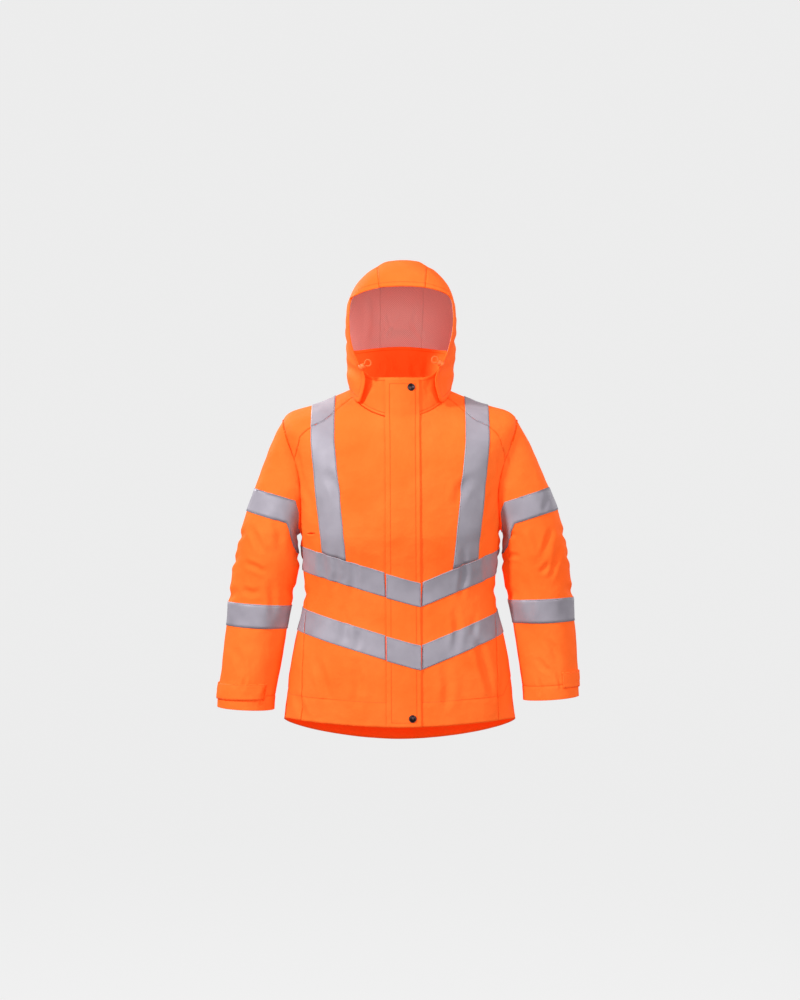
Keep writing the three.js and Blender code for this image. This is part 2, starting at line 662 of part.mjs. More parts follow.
for (const piece of HOOD_PIECES) {
  const places = RIB_ROWS.map((rib) => steps(piece.columns).map((t) => [lerp(piece.from, piece.to, t), rib]));
  const sheet = Sheet.over(hoodPoint, places, [0.02, 0.02]);
  addCloth(`hood_${piece.name}`, sheet);
  const columns = (r) => {
    const edge = lerp(LINING_EDGE_COLUMN, LINING_NECK_COLUMN, smooth((r - LINING_LIFT_ROW) / 3));
    const first = piece.from === 0 ? edge : 0;
    const last = piece.to === HOOD_ROUNDS ? piece.columns - edge : piece.columns;
    return steps(piece.columns).map((t) => Math.min(Math.max(t * piece.columns, first), last));
  };
  const rows = Array.from({ length: LINING_LAST_ROW + 1 }, (_, r) => Math.max(r, LINING_EDGE_ROW));
  const lining = sheet.crop(columns, rows).inset(SEAM_GAP / 2);
  add(`hood_lining_${piece.name}`, lining.solid(-LINING_DEPTH - LINING_WALL, -LINING_DEPTH), "lining");
}

// Front strips: places on the body and collar at a distance x from centre front
function angleAtX(x, level) {
  const half = column(TORSO, "half", level);
  const square = column(TORSO, "square", level);
  return solve(-90, 90, (angle) => {
    const swell = 1 + square * Math.sin(2 * angle * DEGREE) ** 2;
    return half * Math.sin(angle * DEGREE) * swell - x;
  });
}

// Body and collar as one surface: the collar's rise is added to the neck level
function frontPoint(x, level) {
  if (level <= NECK_LEVEL) {
    return torsoPoint(angleAtX(x, level), level);
  }
  return collarPoint(angleAtX(x, NECK_LEVEL), level - NECK_LEVEL);
}

const FLAP_TOP_LEVEL = NECK_LEVEL + 0.955;
const FLAP_LEVELS = [
  ...BODY_ROWS.map((row) => row.level).filter((level) => level < NECK_LEVEL - 0.1),
  NECK_LEVEL,
  ...[0.25, 0.5, 0.75].map((rise) => NECK_LEVEL + rise),
  FLAP_TOP_LEVEL,
];

function frontStrip(count, from, to, levels) {
  const places = levels.map((level) => steps(count).map((t) => {
    const share = level / FLAP_TOP_LEVEL;
    return [lerp(lerp(from.hem, from.top, share), lerp(to.hem, to.top, share), t), level];
  }));
  return Sheet.over(frontPoint, places, [1, 0.02]);
}

sheets.storm_flap = frontStrip(FLAP_COLUMNS, FLAP_SEWN_X, FLAP_FREE_X, FLAP_LEVELS);
add("storm_flap", sheets.storm_flap.solid(LIFT, LIFT + WALL), "shell");

const ZIP_SIDES = [-ZIP_HALF_WIDTH, ZIP_HALF_WIDTH].map((x) => ({ hem: x, top: x }));
const zipSheet = frontStrip(2, ZIP_SIDES[0], ZIP_SIDES[1], FLAP_LEVELS);
add("zip_tape", zipSheet.solid(-WALL - 0.6 - 1.2, -WALL - 0.6), "shell");

// Bands: the row of a sheet's column where a measure of its points passes zero
function rowWhere(sheet, c, measure) {
  const count = sheet.points.length;
  for (let r = 0; r < count - 1; r += 1) {
    const low = measure(sheet.at(c, r).point);
    const high = measure(sheet.at(c, r + 1).point);
    if (low < 0 && high >= 0) {
      return r + low / (low - high);
    }
  }
  return count - 1;
}

const BAND_ROWS = 3;

function bandSheet(sheet, columns, middle) {
  const edges = columns.map((c) => [-1, 1].map((end) => (
    rowWhere(sheet, c, (point) => point.z - middle(point) - end * TAPE_WIDTH / 2)
  )));
  const grid = steps(BAND_ROWS).map((t) => columns.map((c, index) => {
    const [low, high] = edges[index];
    const height = lerp(sheet.at(c, low).point.z, sheet.at(c, high).point.z, t);
    return sheet.at(c, rowWhere(sheet, c, (point) => point.z - height));
  }));
  const pick = (name) => grid.map((row) => row.map((place) => place[name]));
  return new Sheet(pick("point"), pick("normal"));
}

function chevron(apex) {
  return (point) => {
    const slope = point.x < CHEVRON_X ? SLOPE_RIGHT : SLOPE_LEFT;
    return apex + slope * Math.abs(point.x - CHEVRON_X);
  };
}

function backBand(apex) {
  const front = chevron(apex);
  const behind = apex + BACK_BAND_RISE;
  return (point) => {
    const turned = smooth((point.y - BACK_BAND_FROM_Y) / BACK_BAND_TURN);
    return lerp(Math.min(front(point), behind), behind, turned);
  };
}

// Column of a sheet where x passes a value, at about the band's height
function columnAtX(sheet, x, r) {
  const count = sheet.points[0].length - 1;
  return solve(0, count, (c) => sheet.at(c, r).point.x - x);
}

const EDGE_CLEAR = 0.8;
const FLAP_BAND_IN = 0.06;
const FLAP_BAND_LIFT = 2 * LIFT + WALL - 0.2;

for (const [name, apex] of [["upper", UPPER_BAND_Z], ["lower", LOWER_BAND_Z]]) {
  const whole = Array.from({ length: FRONT_COLUMNS }, (_, c) => c);
  const row = rowWhere(sheets.front_left, 1, (point) => point.z - apex);
  const sewn = columnAtX(sheets.front_right, FLAP_SEWN_X.top - EDGE_CLEAR, row);
  const free = columnAtX(sheets.front_left, FLAP_FREE_X.hem + EDGE_CLEAR, row);
  const rightColumns = [0.1, ...whole.filter((c) => c > 0.5 && c < sewn - 0.3), sewn];
  const leftColumns = [free, ...whole.filter((c) => c > free + 0.3), FRONT_COLUMNS - 0.1];
  const backColumns = Array.from({ length: BACK_COLUMNS + 1 }, (_, c) => c);
  backColumns[0] = 0.06;
  backColumns[BACK_COLUMNS] = BACK_COLUMNS - 0.06;
  addOnTop(`band_${name}_front_right`, bandSheet(sheets.front_right, rightColumns, chevron(apex)));
  addOnTop(`band_${name}_front_left`, bandSheet(sheets.front_left, leftColumns, chevron(apex)));
  addOnTop(`band_${name}_back`, bandSheet(sheets.back, backColumns, backBand(apex)));
  const flapColumns = [FLAP_BAND_IN, 1, 2, 3, FLAP_COLUMNS - FLAP_BAND_IN];
  const flapBand = bandSheet(sheets.storm_flap, flapColumns, chevron(apex));
  addOnTop(`band_${name}_flap`, flapBand, "tape", FLAP_BAND_LIFT);
}

// Brace tapes: in front from the upper band to the yoke seam, over the yoke, and down the back
const BRACE_LOW = { z: -347, x: 136 };
const BRACE_HIGH = { z: -110, x: 160 };
const BRACE_COLUMNS = 4;
const BRACE_ROWS = { front: 10, yoke: 8, back: 12 };
const BAND_CLEAR = 0.4;
const BRACE_LIFT = 1.6;
const BRACE_CROWD = 1.6;
const TAB_LIFT = 0.6;
const BRACE_LEVELS = { bandFrom: 3.5, bandTo: 6, seamTo: 9.6, yokeFrom: 7.6, yokeTo: 9.9 };

// The brace surface: offset from its middle line, and level, on one side of one face
function bracePoint(side, back, offset, level) {
  const place = (angle) => torsoPoint(side * (back ? 180 - angle : angle), level);
  const angle = solve(2, 90, (turn) => {
    const point = place(turn);
    const share = Math.min((point.z - BRACE_LOW.z) / (BRACE_HIGH.z - BRACE_LOW.z), 1);
    return side * point.x - lerp(BRACE_LOW.x, BRACE_HIGH.x, share) - offset;
  });
  return { angle, point: place(angle) };
}

const SEAM_ROWS = BODY_ROWS.slice(-YOKE_SEAM_STEPS - 1);

function yokeSeamAngle(level) {
  const index = Math.max(SEAM_ROWS.findIndex((row) => row.level >= level), 1);
  const [low, high] = [SEAM_ROWS[index - 1], SEAM_ROWS[index]];
  return lerp(low.front, high.front, (level - low.level) / (high.level - low.level));
}

function braceSheet(side, back, bandTop) {
  const across = steps(BRACE_COLUMNS).map((t) => side * (back ? -1 : 1) * (t - 0.5) * TAPE_WIDTH);
  const ends = across.map((offset) => {
    const at = (level) => bracePoint(side, back, offset, level);
    const low = solve(BRACE_LEVELS.bandFrom, BRACE_LEVELS.bandTo, (level) => {
      const { point } = at(level);
      return point.z - bandTop(point) - TAPE_WIDTH / 2 - BAND_CLEAR;
    });
    const seamFrom = SEAM_ROWS[0].level + 0.01;
    const high = solve(seamFrom, BRACE_LEVELS.seamTo, (level) => at(level).angle - yokeSeamAngle(level));
    return { low, high };
  });
  const rows = steps(BRACE_ROWS[back ? "back" : "front"]).map((t) => across.map((offset, index) => {
    const level = lerp(ends[index].low, ends[index].high, 1 - (1 - t) ** BRACE_CROWD);
    const { angle } = bracePoint(side, back, offset, level);
    return [side * (back ? 180 - angle : angle), level];
  }));
  return Sheet.over(torsoPoint, rows);
}

function braceYokeSheet(side) {
  const rows = steps(BRACE_ROWS.yoke).map((t) => steps(BRACE_COLUMNS).map((across) => {
    const x = BRACE_HIGH.x - side * (across - 0.5) * TAPE_WIDTH;
    const angleAt = (level) => lerp(180 - yokeSeamAngle(level), yokeSeamAngle(level), t);
    const miss = (value) => x - side * torsoPoint(side * angleAt(value), value).x;
    const level = solve(BRACE_LEVELS.yokeFrom, BRACE_LEVELS.yokeTo, miss);
    return [side * angleAt(level), level];
  }));
  return Sheet.over(torsoPoint, rows);
}

for (const [name, side] of [["right", -1], ["left", 1]]) {
  const topOf = { front: chevron(UPPER_BAND_Z), back: backBand(UPPER_BAND_Z) };
  addOnTop(`brace_front_${name}`, braceSheet(side, false, topOf.front).inset(SEAM_GAP / 2), "tape", BRACE_LIFT);
  addOnTop(`brace_back_${name}`, braceSheet(side, true, topOf.back).inset(SEAM_GAP / 2), "tape", BRACE_LIFT);
  addOnTop(`brace_yoke_${name}`, braceYokeSheet(side).inset(SEAM_GAP / 2), "tape", BRACE_LIFT);
}

// Sleeve bands: the middle height at a distance from the centre plane, and the slope outwards
const SLEEVE_BANDS = [
  { name: "upper_right", sleeve: "sleeve_right", side: -1, x: 260, z: -249, slope: 0.3, lift: 0.95 },
  { name: "lower_right", sleeve: "sleeve_right", side: -1, x: 297, z: -476, slope: 0.06, lift: 1.2 },
  { name: "upper_left", sleeve: "sleeve_left", side: 1, x: 267, z: -248, slope: 0.32, lift: 0.95 },
  { name: "lower_left", sleeve: "sleeve_left", side: 1, x: 304, z: -465, slope: 0.04, lift: 1.6 },
];
const SLEEVE_BAND_ROWS = 2;
const SLEEVE_SEAM_ROW = 0.8;

// Row that lies a given length further down one column of a sheet
function rowAfter(sheet, c, row, length) {
  let left = length;
  let here = row;
  while (here < sheet.points.length - 1) {
    const next = Math.min(Math.floor(here) + 1, sheet.points.length - 1);
    const step = sheet.at(c, here).point.distanceTo(sheet.at(c, next).point);
    if (step >= left) {
      return here + (next - here) * left / step;
    }
    left -= step;
    here = next;
  }
  return here;
}

for (const band of SLEEVE_BANDS) {
  const sheet = sheets[band.sleeve];
  const columns = ARMHOLE_TURNS.map((_, index) => index);
  const edges = columns.map((c) => {
    const above = rowWhere(sheet, c, (point) => (
      band.z + band.slope * (band.side * point.x - band.x) + TAPE_WIDTH / 2 - point.z
    ));
    const start = above > sheet.points.length - 2 ? SLEEVE_SEAM_ROW : Math.max(above, SLEEVE_SEAM_ROW);
    return { start, end: rowAfter(sheet, c, start, TAPE_WIDTH) };
  });
  const places = steps(SLEEVE_BAND_ROWS).map((t) => columns.map((c) => (
    sheet.at(c, lerp(edges[c].start, edges[c].end, t))
  )));
  const points = places.map((row) => row.map((place) => place.point));
  const normals = places.map((row) => row.map((place) => place.normal));
  addOnTop(`sleeve_band_${band.name}`, new Sheet(points, normals, true), "tape", band.lift);
}

// Cuff tabs: straps round the sleeve above its edge, by turns from the underarm by way of the front
const CUFF_TABS = [
  { name: "cuff_tab_right", sleeve: "sleeve_right", side: -1, from: 47, to: 196, top_z: -616, height: 33 },
  { name: "cuff_tab_left", sleeve: "sleeve_left", side: 1, from: 112, to: 214, top_z: -591, height: 33 },
];
const TAB_ROWS = 2;
const TAB_WALL = 1.8;

function sleeveColumn(side, turn) {
  const count = ARMHOLE_TURNS.length;
  const index = ARMHOLE_TURNS.findIndex((value) => value > turn);
  const [low, high] = [ARMHOLE_TURNS[index - 1], ARMHOLE_TURNS[index]];
  const place = index - 1 + (turn - low) / (high - low);
  return side > 0 ? count - 1 - place : place;
}

for (const tab of CUFF_TABS) {
  const sheet = sheets[tab.sleeve];
  const ends = [tab.from, tab.to].map((turn) => sleeveColumn(tab.side, turn)).sort((a, b) => a - b);
  const whole = ARMHOLE_TURNS.map((_, index) => index).filter((c) => c > ends[0] + 0.2 && c < ends[1] - 0.2);
  const columns = [ends[0], ...whole, ends[1]];
  const starts = columns.map((c) => rowWhere(sheet, c, (point) => tab.top_z - point.z));
  const places = steps(TAB_ROWS).map((t) => columns.map((c, index) => {
    const end = rowAfter(sheet, c, starts[index], tab.height);
    return sheet.at(c, lerp(starts[index], end, t));
  }));
  const points = places.map((row) => row.map((place) => place.point));
  const normals = places.map((row) => row.map((place) => place.normal));
  addOnTop(tab.name, new Sheet(points, normals), "shell", TAB_LIFT, TAB_WALL);
}

// Snap caps on the flap
const SNAP_RADIUS = 7.8;
const SNAP_HEIGHT = 2.6;
const SNAPS = [
  { name: "snap_collar", x: 22.7, z: -3 },
  { name: "snap_hem", x: 25.6, z: -680 },
];
const UP = new THREE.Vector3(0, 1, 0);

for (const snap of SNAPS) {
  const level = solve(0, FLAP_TOP_LEVEL, (value) => frontPoint(snap.x, value).z - snap.z);
  const normal = outward(frontPoint, snap.x, level, 1, 0.02);
  const profile = [
    [0, 0], [SNAP_RADIUS - 0.6, 0], [SNAP_RADIUS, 0.6], [SNAP_RADIUS - 0.5, 1.7],
    [SNAP_RADIUS - 2.4, SNAP_HEIGHT], [0, SNAP_HEIGHT],
  ].map(([r, y]) => new THREE.Vector2(r, y));
  const mesh = add(snap.name, new THREE.LatheGeometry(profile, 14), "metal");
  mesh.quaternion.setFromUnitVectors(UP, normal);
  mesh.position.copy(frontPoint(snap.x, level)).addScaledVector(normal, LIFT + WALL + 0.45);
}

// Cord locks at the hood's lower front edges, each with its loop of cord
const LOCK_RADIUS = 6.2;
const LOCK_LENGTH = 12;
const LOCK_CLEAR = 0.5;
const LOCK_OVERHANG = 4;
const CORD_RADIUS = 1.4;
const CORD_SIDES = 8;
const CORD_STEPS = 16;
const LOOP = [
  { out: 0, up: -2.6 }, { out: 1.5, up: -2.7 }, { out: 4, up: -4.8 }, { out: 8, up: -6.6 },
  { out: 12.6, up: -4.8 }, { out: 14.4, up: 0 }, { out: 12.6, up: 4.8 },
  { out: 8, up: 6.6 }, { out: 4, up: 4.8 }, { out: 1.5, up: 2.7 }, { out: 0, up: 2.6 },
];

for (const lock of [{ name: "left", z: 43, round: HOOD_ROUNDS }, { name: "right", z: 36, round: 0 }]) {
  const rib = solve(1, 5, (value) => lock.z - hoodPoint(lock.round, value).z);
  const edge = hoodPoint(lock.round, rib);
  const along = hoodPoint(lock.round, rib - 0.05).sub(hoodPoint(lock.round, rib + 0.05)).normalize();
  const normal = outward(hoodPoint, lock.round, rib, 0.02, 0.02);
  const forward = along.clone().cross(normal).normalize();
  forward.multiplyScalar(-Math.sign(forward.y));
  const out = normal.clone().negate();
  const profile = [
    [0, 0], [LOCK_RADIUS - 1.2, 0], [LOCK_RADIUS, 1.4], [LOCK_RADIUS, LOCK_LENGTH - 1.4],
    [LOCK_RADIUS - 1.2, LOCK_LENGTH], [0, LOCK_LENGTH],
  ].map(([r, y]) => new THREE.Vector2(r, y));
  const mesh = add(`toggle_${lock.name}`, new THREE.LatheGeometry(profile, 16), "shell");
  mesh.quaternion.setFromUnitVectors(UP, out);
  mesh.position.copy(edge).addScaledVector(forward, LOCK_RADIUS + LOCK_CLEAR);
  mesh.position.addScaledVector(out, -LOCK_OVERHANG);
  const start = mesh.position.clone().addScaledVector(out, LOCK_LENGTH + 0.3);
  const points = LOOP.map((place) => (
    start.clone().addScaledVector(out, place.out).addScaledVector(along, place.up)
  ));
  const section = new THREE.Shape();
  for (let index = 0; index < CORD_SIDES; index += 1) {
    const turn = (index / CORD_SIDES) * 2 * Math.PI;
    const place = [CORD_RADIUS * Math.cos(turn), CORD_RADIUS * Math.sin(turn)];
    if (index === 0) {
      section.moveTo(...place);
    } else {
      section.lineTo(...place);
    }
  }
  const extrudePath = new THREE.CatmullRomCurve3(points);
  const loop = new THREE.ExtrudeGeometry(section, { steps: CORD_STEPS, extrudePath });
  add(`hood_cord_${lock.name}`, loop, "shell");
}

export default jacket;
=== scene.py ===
"""Looks of a hi-vis work jacket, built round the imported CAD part.

The jacket stands as if worn. Right and left are the wearer's: the wearer's left is +X. Sizes are in
metres unless a name or a table says millimetres.
"""

import logging
import math
from dataclasses import dataclass, field
from enum import Enum
from typing import Callable, Iterable, Mapping, Sequence

import bmesh
import bpy
import numpy as np
from mathutils import Matrix, Vector, noise
from mathutils.bvhtree import BVHTree
from mathutils.kdtree import KDTree


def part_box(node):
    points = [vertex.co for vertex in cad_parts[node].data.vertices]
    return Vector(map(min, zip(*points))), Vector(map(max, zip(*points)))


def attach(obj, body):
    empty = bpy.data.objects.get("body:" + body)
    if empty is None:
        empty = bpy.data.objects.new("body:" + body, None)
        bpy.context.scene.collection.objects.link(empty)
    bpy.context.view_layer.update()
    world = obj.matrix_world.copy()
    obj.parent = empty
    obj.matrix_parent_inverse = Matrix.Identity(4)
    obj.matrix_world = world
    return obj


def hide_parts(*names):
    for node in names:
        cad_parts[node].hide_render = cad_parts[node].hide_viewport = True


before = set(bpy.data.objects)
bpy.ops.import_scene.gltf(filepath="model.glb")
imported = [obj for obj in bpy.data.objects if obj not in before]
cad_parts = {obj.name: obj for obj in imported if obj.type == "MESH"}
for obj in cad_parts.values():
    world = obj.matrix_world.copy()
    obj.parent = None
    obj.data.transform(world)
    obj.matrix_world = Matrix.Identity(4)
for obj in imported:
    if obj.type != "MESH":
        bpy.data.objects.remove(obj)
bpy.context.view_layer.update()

LOG = logging.getLogger("jacket")
BODY = "root"
MM = 0.001
DOUBLES = 1e-5  # points closer than this are one point
SEAM_GAP = 0.0009  # panels of the CAD that are this close are sewn together
SAME_FACE = math.radians(48)  # a wall's faces turn less than this from one to the next, its rims more
Point = Sequence[float]
Row = list[tuple[Vector, Vector]]  # places along a line of stitches, with the cloth's normals


class Slot(Enum):
    """The record's material slots."""

    SHELL = "shell"
    TAPE = "tape"
    LINING = "lining"
    SNAP = "snap"
    LOCK = "cord_lock"


class Look(Enum):
    """Where a crease is drawn from: the sideways axis, the upright axis and the way the cloth faces."""

    FRONT = ((1, 0, 0), (0, 0, 1), (0, -1, 0))
    BACK = ((1, 0, 0), (0, 0, 1), (0, 1, 0))
    RIGHT = ((0, 1, 0), (0, 0, 1), (-1, 0, 0))
    LEFT = ((0, 1, 0), (0, 0, 1), (1, 0, 0))
    TOP = ((1, 0, 0), (0, 1, 0), (0, 0, 1))


class Hold(Enum):
    """How a sheet of cloth is held."""

    HUNG = "hung"
    DRAPED = "draped"
    LAID = "laid"
    STRETCHED = "stretched"


class Side(Enum):
    """The wearer's two sides."""

    RIGHT = "right"
    LEFT = "left"


class Rounding(Enum):
    """What subdividing does to a sheet's shape."""

    SMOOTH = "CATMULL_CLARK"
    KEEP = "SIMPLE"


# Colour and nodes

def linear(code: str) -> tuple[float, float, float, float]:
    """Turn an sRGB hex colour linear.

    Args:
        code: The colour as six hex digits after a hash.

    Returns:
        Red, green, blue and an alpha of 1.
    """
    values = [int(code[i:i + 2], 16) / 255 for i in (1, 3, 5)]
    return (*(v / 12.92 if v <= 0.04045 else ((v + 0.055) / 1.055) ** 2.4 for v in values), 1.0)


def add_node(tree: bpy.types.NodeTree, kind: str, settings: Mapping | None = None,
             links: Mapping | None = None) -> bpy.types.Node:
    """Add a shader node with its settings and its links.

    Args:
        tree: The material's or the world's node tree.
        kind: The node's type name, without the ShaderNode in front.
        settings: Values for attributes of the node, or for its inputs by name or place.
        links: Output sockets of other nodes for its inputs, by name or place.

    Returns:
        The new node.
    """
    node = tree.nodes.new("ShaderNode" + kind)
    for key, value in (settings or {}).items():
        if isinstance(key, str) and hasattr(node, key):
            setattr(node, key, value)
        else:
            node.inputs[key].default_value = value
    for key, output in (links or {}).items():
        tree.links.new(output, node.inputs[key])
    return node


def new_material(name: str, settings: Mapping) -> tuple[bpy.types.Material, bpy.types.NodeTree, bpy.types.Node]:
    """Make an empty material with a Principled shader.

    Args:
        name: The material's name.
        settings: The shader's constant inputs by name.

    Returns:
        The material, its node tree and the shader.
    """
    material = bpy.data.materials.new(name)
    material.use_nodes = True
    tree = material.node_tree
    tree.nodes.clear()
    shader = add_node(tree, "BsdfPrincipled", settings)
    add_node(tree, "OutputMaterial", {}, {"Surface": shader.outputs[0]})
    return material, tree, shader


# Finishes

# painted light in part: this red is given off at a constant strength, by shaded folds as much as by lit ones
FLUORESCENT_AND_PAINTED_GLOW = (1.0, 0.035, 0.0, 1.0)  # the red that the orange dye gives off


@dataclass(frozen=True)
class FluorescentPolyester:
    """Woven polyester dyed fluorescent orange, with a matt coating on its inside.

    The dye gives back more red than falls on it, so shaded folds keep a full red and only lose their
    green, which the small emission stands for. That emission is a constant red glow: the dye's
    fluorescence in part and painted light in part, as it brightens folds in deep shade as much as lit ones.
    The threads are too fine to count from a metre off: they give a soft grain without gloss.

    Attributes:
        name: The material's name.
        lit: The dye's colour.
        worn: Its colour in faint clouds.
        seam: Its colour along a seam.
        glow: How much red the dye gives off, as a constant glow that is painted light in shaded folds.
        thread: From one thread of the weave to the next.
    """

    name: str = "fluorescent_polyester_oxford"
    lit: str = "#ee7a32"
    worn: str = "#ed6f29"
    seam: str = "#e05712"
    glow: float = 0.4
    thread: float = 0.0011  # real threads are 0.4 mm apart, drawn coarser so that they show

    def material(self) -> bpy.types.Material:
        """Build the node material.

        Returns:
            The material.
        """
        # the emission is a constant red glow: the dye's fluorescence, and painted light that keeps shaded folds red
        material, tree, shader = new_material(self.name, {
            "Roughness": 0.72, "IOR": 1.53, "Specular IOR Level": 0.05, "Emission Color": FLUORESCENT_AND_PAINTED_GLOW,
            "Emission Strength": self.glow,
        })
        wrap = add_node(tree, "UVMap", {"uv_map": "wrap"}).outputs["UV"]
        place = add_node(tree, "TexCoord").outputs["Object"]
        cloud = add_node(tree, "TexNoise", {"Scale": 9.0, "Detail": 3.0}, {"Vector": place}).outputs["Fac"]
        spread = add_node(tree, "MapRange", {1: 0.35, 2: 0.65}, {0: cloud}).outputs[0]
        dye = add_node(tree, "Mix", {"data_type": "RGBA", 6: linear(self.lit), 7: linear(self.worn)}, {0: spread})
        edge = add_node(tree, "Attribute", {"attribute_name": "seam"}).outputs["Fac"]
        near = add_node(tree, "MapRange", {1: 0.0, 2: 0.0016, 3: 1.0, 4: 0.0}, {0: edge}).outputs[0]
        dyed = add_node(tree, "Mix", {"data_type": "RGBA", 7: linear(self.seam)}, {0: near, 6: dye.outputs[2]})
        ridges = {"Scale": math.tau / 20 / self.thread, "Distortion": 0.3, "Detail": 1.0}
        warp = add_node(tree, "TexWave", {"bands_direction": "X", **ridges}, {"Vector": wrap}).outputs["Fac"]
        weft = add_node(tree, "TexWave", {"bands_direction": "Y", **ridges}, {"Vector": wrap}).outputs["Fac"]
        weave = add_node(tree, "Math", {"operation": "MAXIMUM"}, {0: warp, 1: weft}).outputs[0]
        crumple = add_node(tree, "TexNoise", {"Scale": 42.0, "Detail": 4.0, "Roughness": 0.55}, {"Vector": place})
        soft = add_node(tree, "Bump", {"Strength": 0.6, "Distance": 0.004}, {"Height": crumple.outputs["Fac"]})
        fine = add_node(tree, "Bump", {"Strength": 0.22, "Distance": 0.0003},
                        {"Height": weave, "Normal": soft.outputs[0]})
        tree.links.new(dyed.outputs[2], shader.inputs["Base Color"])
        tree.links.new(fine.outputs[0], shader.inputs["Normal"])
        return material


@dataclass(frozen=True)
class RetroreflectiveTape:
    """Silver retroreflective tape: glass beads half sunk in an aluminised layer on a woven backing.

    Seen off the lamp's axis it is an even mid grey with a slightly cool tint, matt, with the faintest
    sparkle from the beads.

    Attributes:
        name: The material's name.
        silver: The colour of the beads.
        rubbed: Their colour where they are rubbed.
        bead: From one bead to the next.
    """

    name: str = "glass_bead_tape"
    silver: str = "#a6a0ab"
    rubbed: str = "#9c96a1"
    bead: float = 0.0008  # real beads are 0.06 mm across, drawn coarser so that the grain shows

    def material(self) -> bpy.types.Material:
        """Build the node material.

        Returns:
            The material.
        """
        material, tree, shader = new_material(self.name, {"Metallic": 0.12, "Roughness": 0.6, "Sheen Weight": 0.08})
        place = add_node(tree, "TexCoord").outputs["Object"]
        cloud = add_node(tree, "TexNoise", {"Scale": 24.0, "Detail": 4.0}, {"Vector": place}).outputs["Fac"]
        spread = add_node(tree, "MapRange", {1: 0.4, 2: 0.7}, {0: cloud}).outputs[0]
        face = add_node(tree, "Mix", {"data_type": "RGBA", 6: linear(self.silver), 7: linear(self.rubbed)}, {0: spread})
        beads = add_node(tree, "TexVoronoi", {"Scale": 1 / self.bead}, {"Vector": place}).outputs["Distance"]
        grain = add_node(tree, "Bump", {"Strength": 0.12, "Distance": 0.0002}, {"Height": beads})
        tree.links.new(face.outputs[2], shader.inputs["Base Color"])
        tree.links.new(grain.outputs[0], shader.inputs["Normal"])
        return material


@dataclass(frozen=True)
class MeshLining:
    """Warp-knitted polyester mesh over a brushed backing, dusty pink.

    The knit's holes sit in even rows about 3 mm apart and read as small dark dots.

    Attributes:
        name: The material's name.
        yarn: The yarn's colour.
        hole: The colour of its holes.
        pitch: From one hole to the next.
        through: How strongly the lining glows by itself, as painted light in place of light that falls on it and shines
            through the hood and the open knit.
    """

    name: str = "warp_knit_mesh"
    yarn: str = "#e0b2ab"
    hole: str = "#b57a75"
    pitch: float = 0.003
    through: float = 0.14

    def material(self) -> bpy.types.Material:
        """Build the node material.

        Returns:
            The material.
        """
        # the yarn-coloured emission is painted light: the lining glows by itself
        material, tree, shader = new_material(self.name, {
            "Roughness": 0.8, "IOR": 1.53, "Specular IOR Level": 0.2, "Emission Color": linear(self.yarn),
            "Emission Strength": self.through,
        })
        wrap = add_node(tree, "UVMap", {"uv_map": "wrap"}).outputs["UV"]
        turned = add_node(tree, "Mapping", {"Rotation": (0, 0, math.pi / 4)}, {"Vector": wrap}).outputs[0]
        grid = add_node(tree, "TexVoronoi", {"voronoi_dimensions": "2D", "Scale": 1 / self.pitch, "Randomness": 0.12},
                        {"Vector": turned}).outputs["Distance"]
        hole = add_node(tree, "MapRange", {1: 0.16, 2: 0.34, 3: 1.0, 4: 0.0}, {0: grid}).outputs[0]
        knit = add_node(tree, "Mix", {"data_type": "RGBA", 6: linear(self.yarn), 7: linear(self.hole)}, {0: hole})
        dent = add_node(tree, "Bump", {"Strength": 0.5, "Distance": 0.0005, "invert": True}, {"Height": hole})
        tree.links.new(knit.outputs[2], shader.inputs["Base Color"])
        tree.links.new(dent.outputs[0], shader.inputs["Normal"])
        return material


@dataclass(frozen=True)
class SmallPart:
    """A moulded, cast or spun small part with one base colour and a little unevenness.

    Attributes:
        name: The material's name.
        colour: Its base colour.
        metallic: 1 for metal, 0 for plastic and thread.
        roughness: How matt it is.
        grain: The size of its unevenness.
        relief: How deep that is.
        glow: Fluorescent red that the dye adds, as a constant glow that is painted light where the part lies in shade.
    """

    name: str
    colour: str
    metallic: float
    roughness: float
    grain: float
    relief: float
    glow: float = 0.0

    def material(self) -> bpy.types.Material:
        """Build the node material.

        Returns:
            The material.
        """
        # the emission is a constant glow: the dye's fluorescence, and painted light where the part lies in shade
        material, tree, shader = new_material(self.name, {
            "Metallic": self.metallic, "Emission Color": FLUORESCENT_AND_PAINTED_GLOW, "Emission Strength": self.glow,
        })
        place = add_node(tree, "TexCoord").outputs["Object"]
        cloud = add_node(tree, "TexNoise", {"Scale": 1 / self.grain, "Detail": 3.0}, {"Vector": place}).outputs["Fac"]
        base = linear(self.colour)
        dark = tuple(0.8 * v for v in base[:3]) + (1.0,)
        tint = add_node(tree, "Mix", {"data_type": "RGBA", 6: base, 7: dark}, {0: cloud})
        bump = add_node(tree, "Bump", {"Strength": 0.3, "Distance": self.relief}, {"Height": cloud})
        rough = add_node(tree, "MapRange", {3: self.roughness - 0.06, 4: self.roughness + 0.06}, {0: cloud})
        tree.links.new(tint.outputs[2], shader.inputs["Base Color"])
        tree.links.new(bump.outputs[0], shader.inputs["Normal"])
        tree.links.new(rough.outputs[0], shader.inputs["Roughness"])
        return material


SHELL_CLOTH = FluorescentPolyester()
TAPE_CLOTH = RetroreflectiveTape()
LINING_CLOTH = MeshLining()
# Gunmetal plating on pressed brass: dark, half gloss, with a warm brown tint
SNAP_METAL = SmallPart("gunmetal_plated_brass", "#4a3a3d", 1.0, 0.34, 0.002, 0.0001)
# The orange parts below glow with a constant red: their dye's fluorescence, and painted light in their shade
# Injection-moulded acetal, dyed orange: smooth and slightly waxy
LOCK_PLASTIC = SmallPart("moulded_acetal", "#ee7a32", 0.0, 0.55, 0.003, 0.0001, 0.4)
